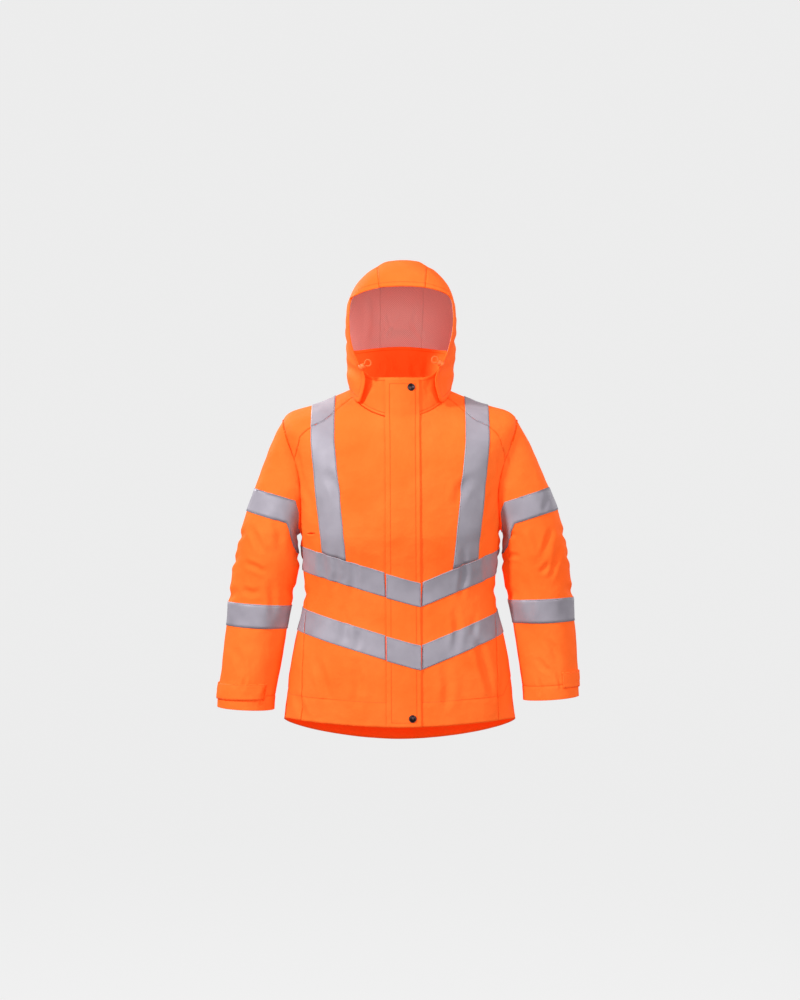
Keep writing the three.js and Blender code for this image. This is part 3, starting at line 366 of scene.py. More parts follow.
# Braided elastic cord: a coarse grain from its plaited yarns
CORD_BRAID = SmallPart("braided_elastic", "#ee742c", 0.0, 0.7, 0.0011, 0.0004, 0.4)
# Spun polyester sewing thread, its colour darkened a shade below the cloth's as painted shade, since it lies sunk
# between puckers
THREAD = SmallPart("spun_polyester_thread", "#e8480f", 0.0, 0.6, 0.001, 0.0001, 0.3)
TAPE_THREAD = SmallPart("grey_polyester_thread", "#8d8690", 0.0, 0.6, 0.001, 0.0001)
# Moulded acetal zip teeth and slider under the flap
ZIP_PLASTIC = SmallPart("moulded_zip_acetal", "#f0520f", 0.0, 0.4, 0.002, 0.0001, 0.25)


# Cloth taken from the CAD

@dataclass(frozen=True)
class Core:
    """The middle line of the body, an arm or the head inside the garment, which tells out from in.

    Attributes:
        top: Its upper end.
        bottom: Its lower end.
        girth: The radius at which a pattern is wrapped round it.
    """

    top: Point
    bottom: Point
    girth: float

    def out(self, points: np.ndarray) -> np.ndarray:
        """Find the way out at some points.

        Args:
            points: Places, one a row.

        Returns:
            One unit vector a row, away from the line.
        """
        top, bottom = np.array(self.top), np.array(self.bottom)
        line = bottom - top
        share = np.clip((points - top) @ line / (line @ line), 0, 1)
        away = points - top - share[:, None] * line
        return away / np.maximum(np.linalg.norm(away, axis=1), 1e-9)[:, None]


TRUNK = Core((0, 0.01, -0.05), (0, 0.0, -0.76), 0.17)
NECK = Core((0, -0.005, 0.1), (0, 0.0, -0.06), 0.08)
HEAD = Core((0, 0.01, 0.14), (0, 0.0, -0.03), 0.11)
ARM_RIGHT = Core((-0.2, 0.0, -0.1), (-0.325, -0.03, -0.65), 0.07)
ARM_LEFT = Core((0.2, 0.0, -0.1), (0.31, -0.03, -0.63), 0.07)


def skin(nodes: Sequence[tuple[str, Core]], merge: float = DOUBLES) -> bmesh.types.BMesh:
    """Gather the outer faces of CAD walls into one sheet whose material index tells the nodes apart.

    Args:
        nodes: Each node's name, with the middle line that it goes round.
        merge: How far apart points at a seam may be and still be joined.

    Returns:
        A mesh of mostly four-sided faces.
    """
    sheet = bmesh.new()
    for index, (name, core) in enumerate(nodes):
        part = bmesh.new()
        part.from_mesh(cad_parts[name].data)
        bmesh.ops.remove_doubles(part, verts=part.verts, dist=DOUBLES)
        part.faces.ensure_lookup_table()
        left, keep = set(part.faces), []
        total = sum(f.calc_area() for f in part.faces)
        while left:
            island, queue = [], [left.pop()]
            while queue:
                face = queue.pop()
                island.append(face)
                for edge in face.edges:
                    if len(edge.link_faces) == 2 and edge.calc_face_angle(0.0) < SAME_FACE:
                        for other in edge.link_faces:
                            if other in left:
                                left.discard(other)
                                queue.append(other)
            areas = np.array([f.calc_area() for f in island])
            normals = np.array([f.normal[:] for f in island])
            away = core.out(np.array([f.calc_center_median()[:] for f in island]))
            facing = float((areas * (normals * away).sum(1)).sum() / areas.sum())
            # smaller islands and those that face along the wall are its rims
            if areas.sum() > 0.04 * total and facing > 0.15:
                keep += island
        drop = set(part.faces) - set(keep)
        bmesh.ops.delete(part, geom=list(drop), context="FACES")
        for face in part.faces:
            face.material_index = index
            face.smooth = True
        LOG.info("skin %s: %d faces, %.4f m2", name, len(part.faces), sum(f.calc_area() for f in part.faces))
        mesh = bpy.data.meshes.new("part")
        part.to_mesh(mesh)
        part.free()
        sheet.from_mesh(mesh)
        bpy.data.meshes.remove(mesh)
    bmesh.ops.remove_doubles(sheet, verts=sheet.verts, dist=merge)
    bmesh.ops.join_triangles(sheet, faces=sheet.faces, cmp_materials=True, angle_face_threshold=math.pi,
                             angle_shape_threshold=math.pi)
    return sheet


def to_object(sheet: bmesh.types.BMesh, name: str) -> bpy.types.Object:
    """Put a mesh into the scene and free it.

    Args:
        sheet: The mesh.
        name: The piece's name.

    Returns:
        The new object.
    """
    mesh = bpy.data.meshes.new(name)
    sheet.to_mesh(mesh)
    sheet.free()
    piece = bpy.data.objects.new(name, mesh)
    bpy.context.scene.collection.objects.link(piece)
    return piece


def spun(profile: Iterable[tuple[float, float]], steps: int) -> bmesh.types.BMesh:
    """Spin a line once round the upright axis.

    Args:
        profile: The line's points: distance from the axis, then height.
        steps: How many sides the round has.

    Returns:
        The mesh, its faces outwards.
    """
    sheet = bmesh.new()
    line = [sheet.verts.new((radius, 0, height)) for radius, height in profile]
    edges = [sheet.edges.new(pair) for pair in zip(line[:-1], line[1:])]
    bmesh.ops.spin(sheet, geom=line + edges, cent=(0, 0, 0), axis=(0, 0, 1), angle=math.tau, steps=steps,
                   use_merge=True)
    bmesh.ops.remove_doubles(sheet, verts=sheet.verts, dist=1e-6)
    bmesh.ops.holes_fill(sheet, edges=[e for e in sheet.edges if e.is_boundary], sides=0)
    bmesh.ops.recalc_face_normals(sheet, faces=sheet.faces)
    for face in sheet.faces:
        face.smooth = True
    return sheet


def apply_modifiers(piece: bpy.types.Object) -> None:
    """Fix a piece's modifiers into its mesh.

    Args:
        piece: The object.
    """
    graph = bpy.context.evaluated_depsgraph_get()
    mesh = bpy.data.meshes.new_from_object(piece.evaluated_get(graph))
    old = piece.data
    piece.modifiers.clear()
    piece.data = mesh
    mesh.name = piece.name
    bpy.data.meshes.remove(old)


def round_off(piece: bpy.types.Object, levels: int, kind: Rounding = Rounding.SMOOTH) -> None:
    """Subdivide a piece and fix the result.

    Args:
        piece: The object.
        levels: How many times each face is divided.
        kind: Whether it is smoothed or keeps its shape.
    """
    step = piece.modifiers.new("round", "SUBSURF")
    step.levels = step.render_levels = levels
    step.subdivision_type = kind.value
    step.boundary_smooth = "PRESERVE_CORNERS"
    apply_modifiers(piece)


def soften(piece: bpy.types.Object, times: int) -> None:
    """Even out a sheet's kinks away from its edges.

    Args:
        piece: The sheet.
        times: How often each point moves half way to the middle of its neighbours.
    """
    sheet = bmesh.new()
    sheet.from_mesh(piece.data)
    inner = [v for v in sheet.verts if not v.is_boundary]
    for _ in range(times):
        bmesh.ops.smooth_vert(sheet, verts=inner, factor=0.5, use_axis_x=True, use_axis_y=True, use_axis_z=True)
    sheet.to_mesh(piece.data)
    sheet.free()


def rows_of(mesh: bpy.types.Mesh, name: str) -> np.ndarray:
    """Read a vector at each point of a mesh.

    Args:
        mesh: The mesh.
        name: The vector's name at a vertex.

    Returns:
        The vectors, one a row.
    """
    flat = np.empty(len(mesh.vertices) * 3)
    mesh.vertices.foreach_get(name, flat)
    return flat.reshape(-1, 3)


def points_of(mesh: bpy.types.Mesh) -> np.ndarray:
    """Read a mesh's points, one a row."""
    return rows_of(mesh, "co")


def normals_of(mesh: bpy.types.Mesh) -> np.ndarray:
    """Read a mesh's smooth normals, one a row."""
    return rows_of(mesh, "normal")


def move_points(mesh: bpy.types.Mesh, points: np.ndarray) -> None:
    """Write a mesh's points back."""
    mesh.vertices.foreach_set("co", points.reshape(-1))
    mesh.update()


def border_points(mesh: bpy.types.Mesh, wanted: Callable[[int, int], bool], step: float = 0.0015) -> list[Vector]:
    """Find points along the edges where a sheet ends or changes from one node to another.

    Args:
        mesh: The sheet.
        wanted: Says from the material indices on the two sides (-1 for none) whether an edge counts.
        step: The distance between points.

    Returns:
        Points along those edges.
    """
    sides: dict[tuple[int, int], list[int]] = {}
    for face in mesh.polygons:
        for key in face.edge_keys:
            sides.setdefault(key, []).append(face.material_index)
    found = []
    for (a, b), owners in sides.items():
        pair = (owners[0], owners[1]) if len(owners) > 1 else (owners[0], -1)
        if pair[0] != pair[1] and wanted(*pair):
            start, end = mesh.vertices[a].co, mesh.vertices[b].co
            count = max(1, round((end - start).length / step))
            found += [start.lerp(end, i / count) for i in range(count)]
    return found


def at_edge(one: int, other: int) -> bool:
    """Tell whether the sheet ends between two sides."""
    return other < 0


def at_seam(one: int, other: int) -> bool:
    """Tell whether the sheet goes on across two sides."""
    return other >= 0


def owned_points(mesh: bpy.types.Mesh, indices: set[int]) -> np.ndarray:
    """Tell which points belong to faces of some material indices.

    Args:
        mesh: The sheet.
        indices: The material indices.

    Returns:
        True for each such point.
    """
    owned = np.zeros(len(mesh.vertices), bool)
    for face in mesh.polygons:
        if face.material_index in indices:
            owned[list(face.vertices)] = True
    return owned


def distance_to(points: np.ndarray, marks: Sequence[Vector]) -> np.ndarray:
    """Measure how far points are from the nearest of some marks.

    Args:
        points: Places, one a row.
        marks: The marks.

    Returns:
        One distance for each point, a metre where there are no marks.
    """
    if not marks:
        return np.full(len(points), 1.0)
    tree = KDTree(len(marks))
    for index, mark in enumerate(marks):
        tree.insert(mark, index)
    tree.balance()
    return np.array([tree.find(p)[2] for p in points])


def edge_of(mesh: bpy.types.Mesh) -> np.ndarray:
    """Measure how far each point of a sheet is from its nearest edge."""
    return distance_to(points_of(mesh), border_points(mesh, at_edge))


def seam_of(mesh: bpy.types.Mesh) -> np.ndarray:
    """Measure how far each point of a sheet is from its nearest seam."""
    return distance_to(points_of(mesh), border_points(mesh, at_seam))


def bell(distance: np.ndarray, width: float) -> np.ndarray:
    """Fall smoothly from 1 at no distance to 0 well beyond a width."""
    return np.exp(-(distance / width) ** 2)


def fade(distance: np.ndarray, width: float) -> np.ndarray:
    """Fall from 1 at no distance, at once, to 0 well beyond a width."""
    return np.exp(-distance / width)


def unevenness(points: np.ndarray, size: float, shift: float = 0.0) -> np.ndarray:
    """Read a fixed cloud of bumps at some points.

    Args:
        points: Places, one a row.
        size: The bumps' usual width.
        shift: Moves the cloud, so that two clouds differ.

    Returns:
        A value from about -1 to 1 for each point.
    """
    return np.array([noise.noise(Vector(p) / size + Vector((shift, shift, shift))) for p in points])


def set_attribute(mesh: bpy.types.Mesh, name: str, values: np.ndarray) -> None:
    """Store one number for each point of a mesh.

    Args:
        mesh: The mesh.
        name: The attribute's name.
        values: The numbers.
    """
    layer = mesh.attributes.new(name, "FLOAT", "POINT")
    layer.data.foreach_set("value", values.astype(np.float32))


def wrap_map(mesh: bpy.types.Mesh, core: Core) -> None:
    """Give a sheet a UV map in metres that goes round its core and along it.

    Args:
        mesh: The sheet.
        core: The middle line.
    """
    top, bottom = Vector(core.top), Vector(core.bottom)
    line = (bottom - top).normalized()
    side = line.cross(Vector((0, 1, 0))).normalized()
    front = side.cross(line)
    layer = mesh.uv_layers.new(name="wrap")
    angles, rises = [], []
    for vertex in mesh.vertices:
        away = vertex.co - top
        angles.append(math.atan2(away.dot(side), away.dot(front)))
        rises.append(away.dot(line))
    for face in mesh.polygons:
        first = angles[face.vertices[0]]
        for loop in face.loop_indices:
            vertex = mesh.loops[loop].vertex_index
            turn = first + (angles[vertex] - first + math.pi) % math.tau - math.pi
            layer.data[loop].uv = (turn * core.girth, rises[vertex])


# Creases, listed one by one

@dataclass(frozen=True)
class Crease:
    """One soft fold in the cloth, drawn as a line on the side that it is seen from.

    Attributes:
        look: The side that it is drawn on.
        line: Its points, sideways and upright, in millimetres.
        width: Half its width, in millimetres.
        depth: How far it sinks, or stands out where negative, in millimetres.
    """

    look: Look
    line: tuple[tuple[float, float], ...]
    width: float
    depth: float

    def push(self, points: np.ndarray, normals: np.ndarray) -> np.ndarray:
        """Work out how far the crease moves each point along its normal.

        Args:
            points: Places, one a row.
            normals: The cloth's normals there.

        Returns:
            The moves, outwards where positive.
        """
        across, upright, facing = (np.array(axis, float) for axis in self.look.value)
        flat = np.stack([points @ across, points @ upright], axis=1) / MM
        near, share = np.full(len(points), 1e9), np.zeros(len(points))
        line = np.array(self.line, float)
        spans = np.linalg.norm(np.diff(line, axis=0), axis=1)
        begun = 0.0
        for start, end, span in zip(line[:-1], line[1:], spans):
            along = np.clip((flat - start) @ (end - start) / span ** 2, 0, 1)
            gap = np.linalg.norm(flat - start - along[:, None] * (end - start), axis=1)
            closer = gap < near
            near = np.where(closer, gap, near)
            share = np.where(closer, (begun + along * span) / spans.sum(), share)
            begun += span
        u = near / self.width
        profile = -np.exp(-u ** 2) + 0.42 * np.exp(-((u - 1.7) / 0.8) ** 2)
        taper = 1 - np.abs(2 * share - 1) ** 2.5
        faces = np.clip((normals @ facing - 0.05) / 0.4, 0, 1)
        return self.depth * MM * profile * taper * faces


def crease(look: Look, width: float, depth: float, *line: tuple[float, float]) -> Crease:
    """Name a crease in one row of a table: its side, its half width, its depth and its line."""
    return Crease(look, tuple(line), width, depth)


# Sub-assemblies

def dress(piece: bpy.types.Object, material: bpy.types.Material, slot: Slot, *nodes: str) -> None:
    """Give a piece its material and tie it to the frame.

    Args:
        piece: The object.
        material: Its material.
        slot: The record's material slot; it is not used.
        nodes: The CAD nodes that it stands for.
    """
    piece.data.materials.clear()
    piece.data.materials.append(material)
    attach(piece, BODY)
    if nodes:
        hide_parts(*nodes)
    LOG.info("%s: %d points", piece.name, len(piece.data.vertices))


def give_wall(piece: bpy.types.Object, thickness: float) -> None:
    """Turn a sheet into cloth of a thickness, which grows behind its faces.

    Args:
        piece: The sheet.
        thickness: The cloth's thickness.
    """
    step = piece.modifiers.new("wall", "SOLIDIFY")
    step.thickness = thickness
    step.offset = -1.0
    step.use_quality_normals = True
    apply_modifiers(piece)


def split_by_node(piece: bpy.types.Object, names: Sequence[str]) -> dict[str, bpy.types.Object]:
    """Cut a sheet into one piece for each material index.

    Args:
        piece: The sheet, which is removed.
        names: The new pieces' names, by material index.

    Returns:
        The new pieces by name.
    """
    found = {}
    for index, name in enumerate(names):
        part = bmesh.new()
        part.from_mesh(piece.data)
        bmesh.ops.delete(part, geom=[f for f in part.faces if f.material_index != index], context="FACES")
        for face in part.faces:
            face.material_index = 0
        found[name] = to_object(part, name)
    bpy.data.objects.remove(piece)
    return found


@dataclass
class Surface:
    """A smooth sheet, kept as it was for the pieces that are laid on it.

    Attributes:
        points: Its points.
        normals: Its smooth normals there.
        faces: The places of each face's corners in the list of points.
    """

    points: list[Vector]
    normals: list[Vector]
    faces: list[tuple[int, ...]]

    def __post_init__(self) -> None:
        """Sort the faces by place, to find the nearest one soon."""
        self.tree = BVHTree.FromPolygons(self.points, self.faces)

    @classmethod
    def of(cls, mesh: bpy.types.Mesh) -> "Surface":
        """Copy a mesh's surface.

        Args:
            mesh: The mesh.

        Returns:
            Its surface as it is now.
        """
        return cls([v.co.copy() for v in mesh.vertices], [v.normal.copy() for v in mesh.vertices],
                   [tuple(f.vertices) for f in mesh.polygons])

    def joined(self, other: "Surface") -> "Surface":
        """Put this surface and another side by side.

        Args:
            other: The other surface.

        Returns:
            Both as one.
        """
        first = len(self.points)
        return Surface(self.points + other.points, self.normals + other.normals,
                       self.faces + [tuple(first + v for v in face) for face in other.faces])

    def lay(self, piece: bpy.types.Object, lift: float) -> None:
        """Lay a sheet on this one.

        Args:
            piece: The sheet to lay.
            lift: How far above this one it lies.
        """
        for vertex in piece.data.vertices:
            vertex.co, _ = self.over(vertex.co, lift)
        piece.data.update()

    def over(self, point: Vector, lift: float) -> tuple[Vector, Vector]:
        """Find the place above this sheet nearest to a point.

        Args:
            point: The point.
            lift: How far above the sheet.

        Returns:
            The place and the sheet's normal there.
        """
        near, _, index, _ = self.tree.find_nearest(point)
        corners = self.faces[index]
        weights = [1 / (1e-5 + (self.points[c] - near).length) for c in corners]
        normal = sum((self.normals[c] * w for c, w in zip(corners, weights)), Vector()).normalized()
        return near + normal * lift, normal


@dataclass
class Studio:
    """The camera, the lights and a pale floor that rises into a backdrop.

    Attributes:
        distance: From the camera to the jacket's middle.
        height: The camera's height.
        lens: Its focal length in millimetres.
        floor: The floor's height.
        pale: The floor's colour.
        light: How much of it the floor gives by itself, so that it looks even.
    """

    distance: float = 4.2
    height: float = -0.2352
    lens: float = 72.0
    floor: float = -1.9
    pale: str = "#efefef"
    light: float = 0.96

    def set_camera(self) -> None:
        """Place the camera at the photograph's angle."""
        data = bpy.data.cameras.new("photo_camera")
        data.lens = self.lens
        data.sensor_width = 36.0
        camera = bpy.data.objects.new("photo_camera", data)
        camera.location = (0, -self.distance, self.height)
        camera.rotation_euler = (math.pi / 2, 0, 0)
        bpy.context.scene.collection.objects.link(camera)
        bpy.context.scene.camera = camera

    def lamp(self, name: str, place: Point, size: float, power: float) -> None:
        """Add a square soft lamp that faces the jacket.

        Args:
            name: The lamp's name.
            place: Where it stands.
            size: The length of its side.
            power: Its power in watts.
        """
        data = bpy.data.lights.new(name, "AREA")
        data.size = size
        data.energy = power
        lamp = bpy.data.objects.new(name, data)
        lamp.location = place
        lamp.rotation_euler = (Vector((0, 0, -0.25)) - Vector(place)).to_track_quat("-Z", "Y").to_euler()
        bpy.context.scene.collection.objects.link(lamp)

    def set_lights(self) -> None:
        """Light the jacket from both sides, from beside the camera, from above and from behind."""
        self.lamp("key_left", (-2.5, -2.2, 1.7), 0.5, 140.0)
        self.lamp("front", (0.5, -3.9, 0.2), 0.9, 30.0)
        self.lamp("fill_right", (2.6, -2.2, 0.9), 1.0, 40.0)
        self.lamp("top", (0.3, 0.3, 2.4), 1.2, 16.0)
        self.lamp("back_left", (-1.8, 2.3, 1.5), 1.0, 70.0)
        self.lamp("back_right", (2.4, 2.2, 0.4), 1.8, 20.0)
        world = bpy.data.worlds.new("studio")
        world.use_nodes = True
        world.node_tree.nodes["Background"].inputs[0].default_value = (1.0, 1.0, 1.0, 1.0)
        world.node_tree.nodes["Background"].inputs[1].default_value = 0.18
        scene = bpy.context.scene
        scene.world = world
        scene.view_settings.view_transform = "Standard"

    def set_floor(self) -> None:
        """Spin one pale sheet: a floor that rises into a wall all round. It neither lights nor shades the jacket."""
        sheet = bmesh.new()
        profile = [(0.0, 0.0), (7.0, 0.0), (8.2, 0.35), (8.9, 1.1), (9.2, 2.2), (9.3, 9.0)]
        line = [sheet.verts.new((r, 0, self.floor + z)) for r, z in profile]
        edges = [sheet.edges.new(pair) for pair in zip(line[:-1], line[1:])]
        bmesh.ops.spin(sheet, geom=line + edges, cent=(0, 0, 0), axis=(0, 0, 1), angle=math.tau, steps=64,
                       use_merge=True)
        bmesh.ops.remove_doubles(sheet, verts=sheet.verts, dist=1e-4)
        bmesh.ops.recalc_face_normals(sheet, faces=sheet.faces)
        bmesh.ops.reverse_faces(sheet, faces=sheet.faces)
        for face in sheet.faces:
            face.smooth = True
        backdrop = to_object(sheet, "backdrop")
        material, tree, shader = new_material("matt_paper", {
            "Roughness": 0.95, "Specular IOR Level": 0.0, "Emission Color": linear(self.pale),
            "Emission Strength": self.light,
        })
        cloud = add_node(tree, "TexNoise", {"Scale": 1.5}, {"Vector": add_node(tree, "TexCoord").outputs["Object"]})
        tint = add_node(tree, "Mix", {"data_type": "RGBA", 6: linear("#404040"), 7: linear("#3f3f3f")},
                        {0: cloud.outputs["Fac"]})
        tree.links.new(tint.outputs[2], shader.inputs["Base Color"])
        backdrop.data.materials.append(material)
        backdrop.visible_diffuse = backdrop.visible_glossy = backdrop.visible_shadow = False


@dataclass
class CordLock:
    """One barrel cord lock at the hood's lower front edge, with its loop of elastic cord.

    Attributes:
        side: The wearer's side that it is on.
        middle: The barrel's middle.
        out: The way that its axis points.
        up: The way up across that.
        radius: The barrel's radius.
        length: Its length.
        cord: The cord's radius.
        loop: The loop's middle line, out from the barrel's end and up, in millimetres.
    """

    side: Side
    middle: Point
    out: Point
    up: Point
    radius: float = 0.0062
    length: float = 0.012
    cord: float = 0.0017
    loop: tuple[tuple[float, float], ...] = (
        (0, -2.6), (1.5, -2.7), (4, -4.8), (8, -6.6), (12.6, -4.8), (14.4, 0), (12.6, 4.8), (8, 6.6), (4, 4.8),
        (1.5, 2.7), (0, 2.6),
    )

    def build_cord(self) -> None:
        middle, out, up = (Vector(v) for v in (self.middle, self.out, self.up))
        start = middle + out * (self.length / 2 + 0.0003)
        path = [start + out * (a * MM) + up * (b * MM) for a, b in self.loop]
        curve = bpy.data.curves.new(f"cord_loop_{self.side.value}", "CURVE")
        curve.dimensions = "3D"
        curve.bevel_depth = self.cord
        curve.bevel_resolution = 4
        curve.resolution_u = 8
        curve.use_fill_caps = True
        spline = curve.splines.new("BEZIER")
        spline.bezier_points.add(len(path) - 1)
        for point, place in zip(spline.bezier_points, path):
            point.co = place
            point.handle_left_type = point.handle_right_type = "AUTO"
        piece = bpy.data.objects.new(curve.name, curve)
        bpy.context.scene.collection.objects.link(piece)
        curve.materials.append(CORD_BRAID.material())
        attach(piece, BODY)
        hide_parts(f"hood_cord_{self.side.value}")

    def build_lock(self) -> None:
        """Spin the barrel and set its push button in its far end."""
        profile = [(0, 0), (4.4, 0), (5.6, 0.5), (6.2, 1.6), (6.2, 4.2), (5.8, 4.7), (5.8, 5.6), (6.2, 6.1),
                   (6.2, 10.6), (5.5, 11.7), (4.2, 12), (0, 12)]
        sheet = spun([(r * MM, y * MM - self.length / 2) for r, y in profile], 32)
        for face in sheet.faces:
            face.smooth = face.calc_center_median().length > 0.002
        turn = Vector((0, 0, 1)).rotation_difference(Vector(self.out)).to_matrix().to_4x4()
        bmesh.ops.transform(sheet, matrix=Matrix.Translation(self.middle) @ turn, verts=sheet.verts)
        dress(to_object(sheet, f"cord_lock_{self.side.value}"), LOCK_PLASTIC.material(), Slot.LOCK,
              f"toggle_{self.side.value}")


@dataclass
class BodyShell:
    """The fronts, the back, the yokes and the sleeves: one surface, smoothed as a whole, then cut at its seams.

    Attributes:
        wall: The thickness of the quilted cloth.
        levels: How finely the CAD facets are divided.
        groove: How deep a seam sinks.
        groove_width: How wide that is.
        hem: How far above the edge the hem is stitched.
        cuff: How far above the edge a cuff is stitched.
        topstitch: How far beside a yoke or armhole seam its topstitch runs.
        creases: The folds, listed one by one.
        surface: The smooth surface, once it is built.
        rows: The lines that are sewn in orange.
        pieces: The panels by name.
    """

    creases: tuple[Crease, ...]
    wall: float = 0.0018
    levels: int = 3
    groove: float = 0.0009
    groove_width: float = 0.0026
    hem: float = 0.05
    cuff: float = 0.03
    topstitch: float = 0.003
    surface: Surface = field(init=False)
    rows: list[Row] = field(init=False)
    pieces: dict[str, bpy.types.Object] = field(init=False)

    panels = (
        ("front_right", TRUNK), ("front_left", TRUNK), ("back", TRUNK), ("yoke_right", TRUNK), ("yoke_left", TRUNK),
        ("sleeve_right", ARM_RIGHT), ("sleeve_left", ARM_LEFT),
    )

    def build(self) -> None:
        """Make the smooth surface, fold it, and keep it for the pieces sewn on it."""
        whole = to_object(skin(self.panels, SEAM_GAP), "whole_shell")
        round_off(whole, self.levels)
        mesh = whole.data
        points, normals = points_of(mesh), normals_of(mesh)
        fronts, yoke_pair, sleeves = {0, 1}, {3, 4}, {5, 6}  # places in the list of panels
        # the zip is between the fronts, so no seam sinks there
        seams = distance_to(points, border_points(mesh, lambda a, b: at_seam(a, b) and {a, b} != fronts))
        edges = edge_of(mesh)
        move = sum(item.push(points, normals) for item in self.creases)
        move = move + 0.0022 * unevenness(points, 0.07) + 0.0009 * unevenness(points, 0.026, 7.0)
        move = move - self.groove * bell(seams, self.groove_width)
        pucker = fade(seams, 0.012) + 0.6 * fade(edges, 0.012)
        arms = owned_points(mesh, sleeves)
        line = np.where(arms, self.cuff, self.hem)
        low = points[:, 2] < np.where(arms, -0.5, -0.55)  # only cuffs and hem are turned up, not the neck
        from_line = np.where(low, np.abs(edges - line), 1.0)
        pucker = pucker + 0.8 * fade(from_line, 0.009)
        move = move - 0.0007 * bell(from_line, 0.003)
        move = move + 0.0006 * np.minimum(pucker, 1.2) * unevenness(points, 0.011, 3.0)
        move_points(mesh, points + normals * move[:, None])
        set_attribute(mesh, "seam", np.minimum(seams, from_line))
        self.surface = Surface.of(mesh)
        yokes = owned_points(mesh, yoke_pair)
        self.rows = level_lines(whole, np.where(low, edges / line, 9.0), 1.0)
        for owned, pair in ((yokes, yoke_pair), (~arms | (seams < 1e-6), sleeves)):
            near = distance_to(points, border_points(mesh, lambda a, b: at_seam(a, b) and bool({a, b} & pair)))
            self.rows += level_lines(whole, np.where(owned, near, -near), self.topstitch)
        self.pieces = split_by_node(whole, [name + "_cloth" for name, _ in self.panels])

    def finish(self, material: bpy.types.Material) -> None:
        """Give each panel its wall, its pattern and its material.

        Args:
            material: The shell's cloth.
        """
        for name, core in self.panels:
            piece = self.pieces[name + "_cloth"]
            wrap_map(piece.data, core)
            give_wall(piece, self.wall)
            dress(piece, material, Slot.SHELL, name)


@dataclass(frozen=True)
class Cut:
    """The flat rectangle that one sheet of cloth is cut from, and how the jacket holds it.

    Attributes:
        piece: The sheet's name.
        width: The rectangle's width in millimetres.
        length: Its length in millimetres.
        held: How it is held.
        on: The piece that it rests on or hangs from.
    """

    piece: str
    width: float
    length: float
    held: Hold
    on: str = ""

    def declare(self) -> None:
        """Take no step. Cloth that doesn't stretch keeps the area that it was cut to, but nothing here holds it to
        that.
        """


@dataclass
class Overlay:
    """A flat piece sewn on the jacket: a band, a brace, a tab or the storm flap.

    Attributes:
        node: The CAD node that it stands for.
        core: The middle line that it goes round.
        lift: How far its back lies above the cloth.
        wall: Its thickness.
        levels: How finely its facets are divided.
        swell: How far its middle stands out between its stitched edges.
        row: How far inside its edge it is stitched.
        even: How often its kinks are evened out.
        reach: How much further its ends towards -X and +X are drawn out.
    """

    node: str
    core: Core
    lift: float = 0.0006
    wall: float = 0.0006
    levels: int = 2
    swell: float = 0.0
    row: float = 0.0022
    even: int = 0
    reach: tuple[float, float] = (0.0, 0.0)

    def build(self, under: Surface, suffix: str) -> bpy.types.Object:
        """Lay the piece on what it is sewn to.

        Args:
            under: The surface below it.
            suffix: What the new piece's name ends with.

        Returns:
            The piece as a sheet, its faces outwards.
        """
        piece = to_object(skin([(self.node, self.core)]), f"{self.node}_{suffix}")
        round_off(piece, self.levels, Rounding.KEEP)
        points = points_of(piece.data)
        low, wide = points[:, 0].min(), np.ptp(points[:, 0])
        points[:, 0] = low - self.reach[0] + (points[:, 0] - low) * (wide + sum(self.reach)) / wide
        move_points(piece.data, points)
        edge = edge_of(piece.data)
        under.lay(piece, self.lift + self.wall)
        soften(piece, self.even)
        points, normals = points_of(piece.data), normals_of(piece.data)
        puff = self.swell * (1 - fade(np.maximum(edge - self.row, 0), 0.006))
        ripple = 0.0004 * fade(edge, 0.006) * unevenness(points, 0.009, 5.0)
        move_points(piece.data, points + normals * (puff + np.maximum(ripple, -0.0003))[:, None])
        set_attribute(piece.data, "seam", np.abs(edge - self.row))
        wrap_map(piece.data, self.core)
        return piece


@dataclass
class Collar:
    """The stand collar: two layers of cloth turned over a soft rounded top edge.

    Attributes:
        wall: Its thickness.
        topstitch: How far inside its edge it is stitched.
        creases: The folds, listed one by one.
        surface: The smooth surface, once it is built.
        rows: The lines that are sewn in orange.
    """

    creases: tuple[Crease, ...]
    wall: float = 0.003
    topstitch: float = 0.006
    surface: Surface = field(init=False)
    rows: list[Row] = field(init=False)

    def build(self, material: bpy.types.Material) -> None:
        """Smooth, fold and dress the collar.

        Args:
            material: The shell's cloth.
        """
        piece = to_object(skin([("collar", NECK)]), "collar_cloth")
        round_off(piece, 3)
        points, normals = points_of(piece.data), normals_of(piece.data)
        edge = edge_of(piece.data)
        move = sum(item.push(points, normals) for item in self.creases)
        move = move + 0.0007 * unevenness(points, 0.03, 2.0) - 0.0005 * bell(edge - self.topstitch, 0.002)
        move_points(piece.data, points + normals * move[:, None])
        set_attribute(piece.data, "seam", np.abs(edge - self.topstitch))
        self.surface = Surface.of(piece.data)
        self.rows = level_lines(piece, edge, self.topstitch)
        wrap_map(piece.data, NECK)
        give_wall(piece, self.wall)
        dress(piece, material, Slot.SHELL, "collar")


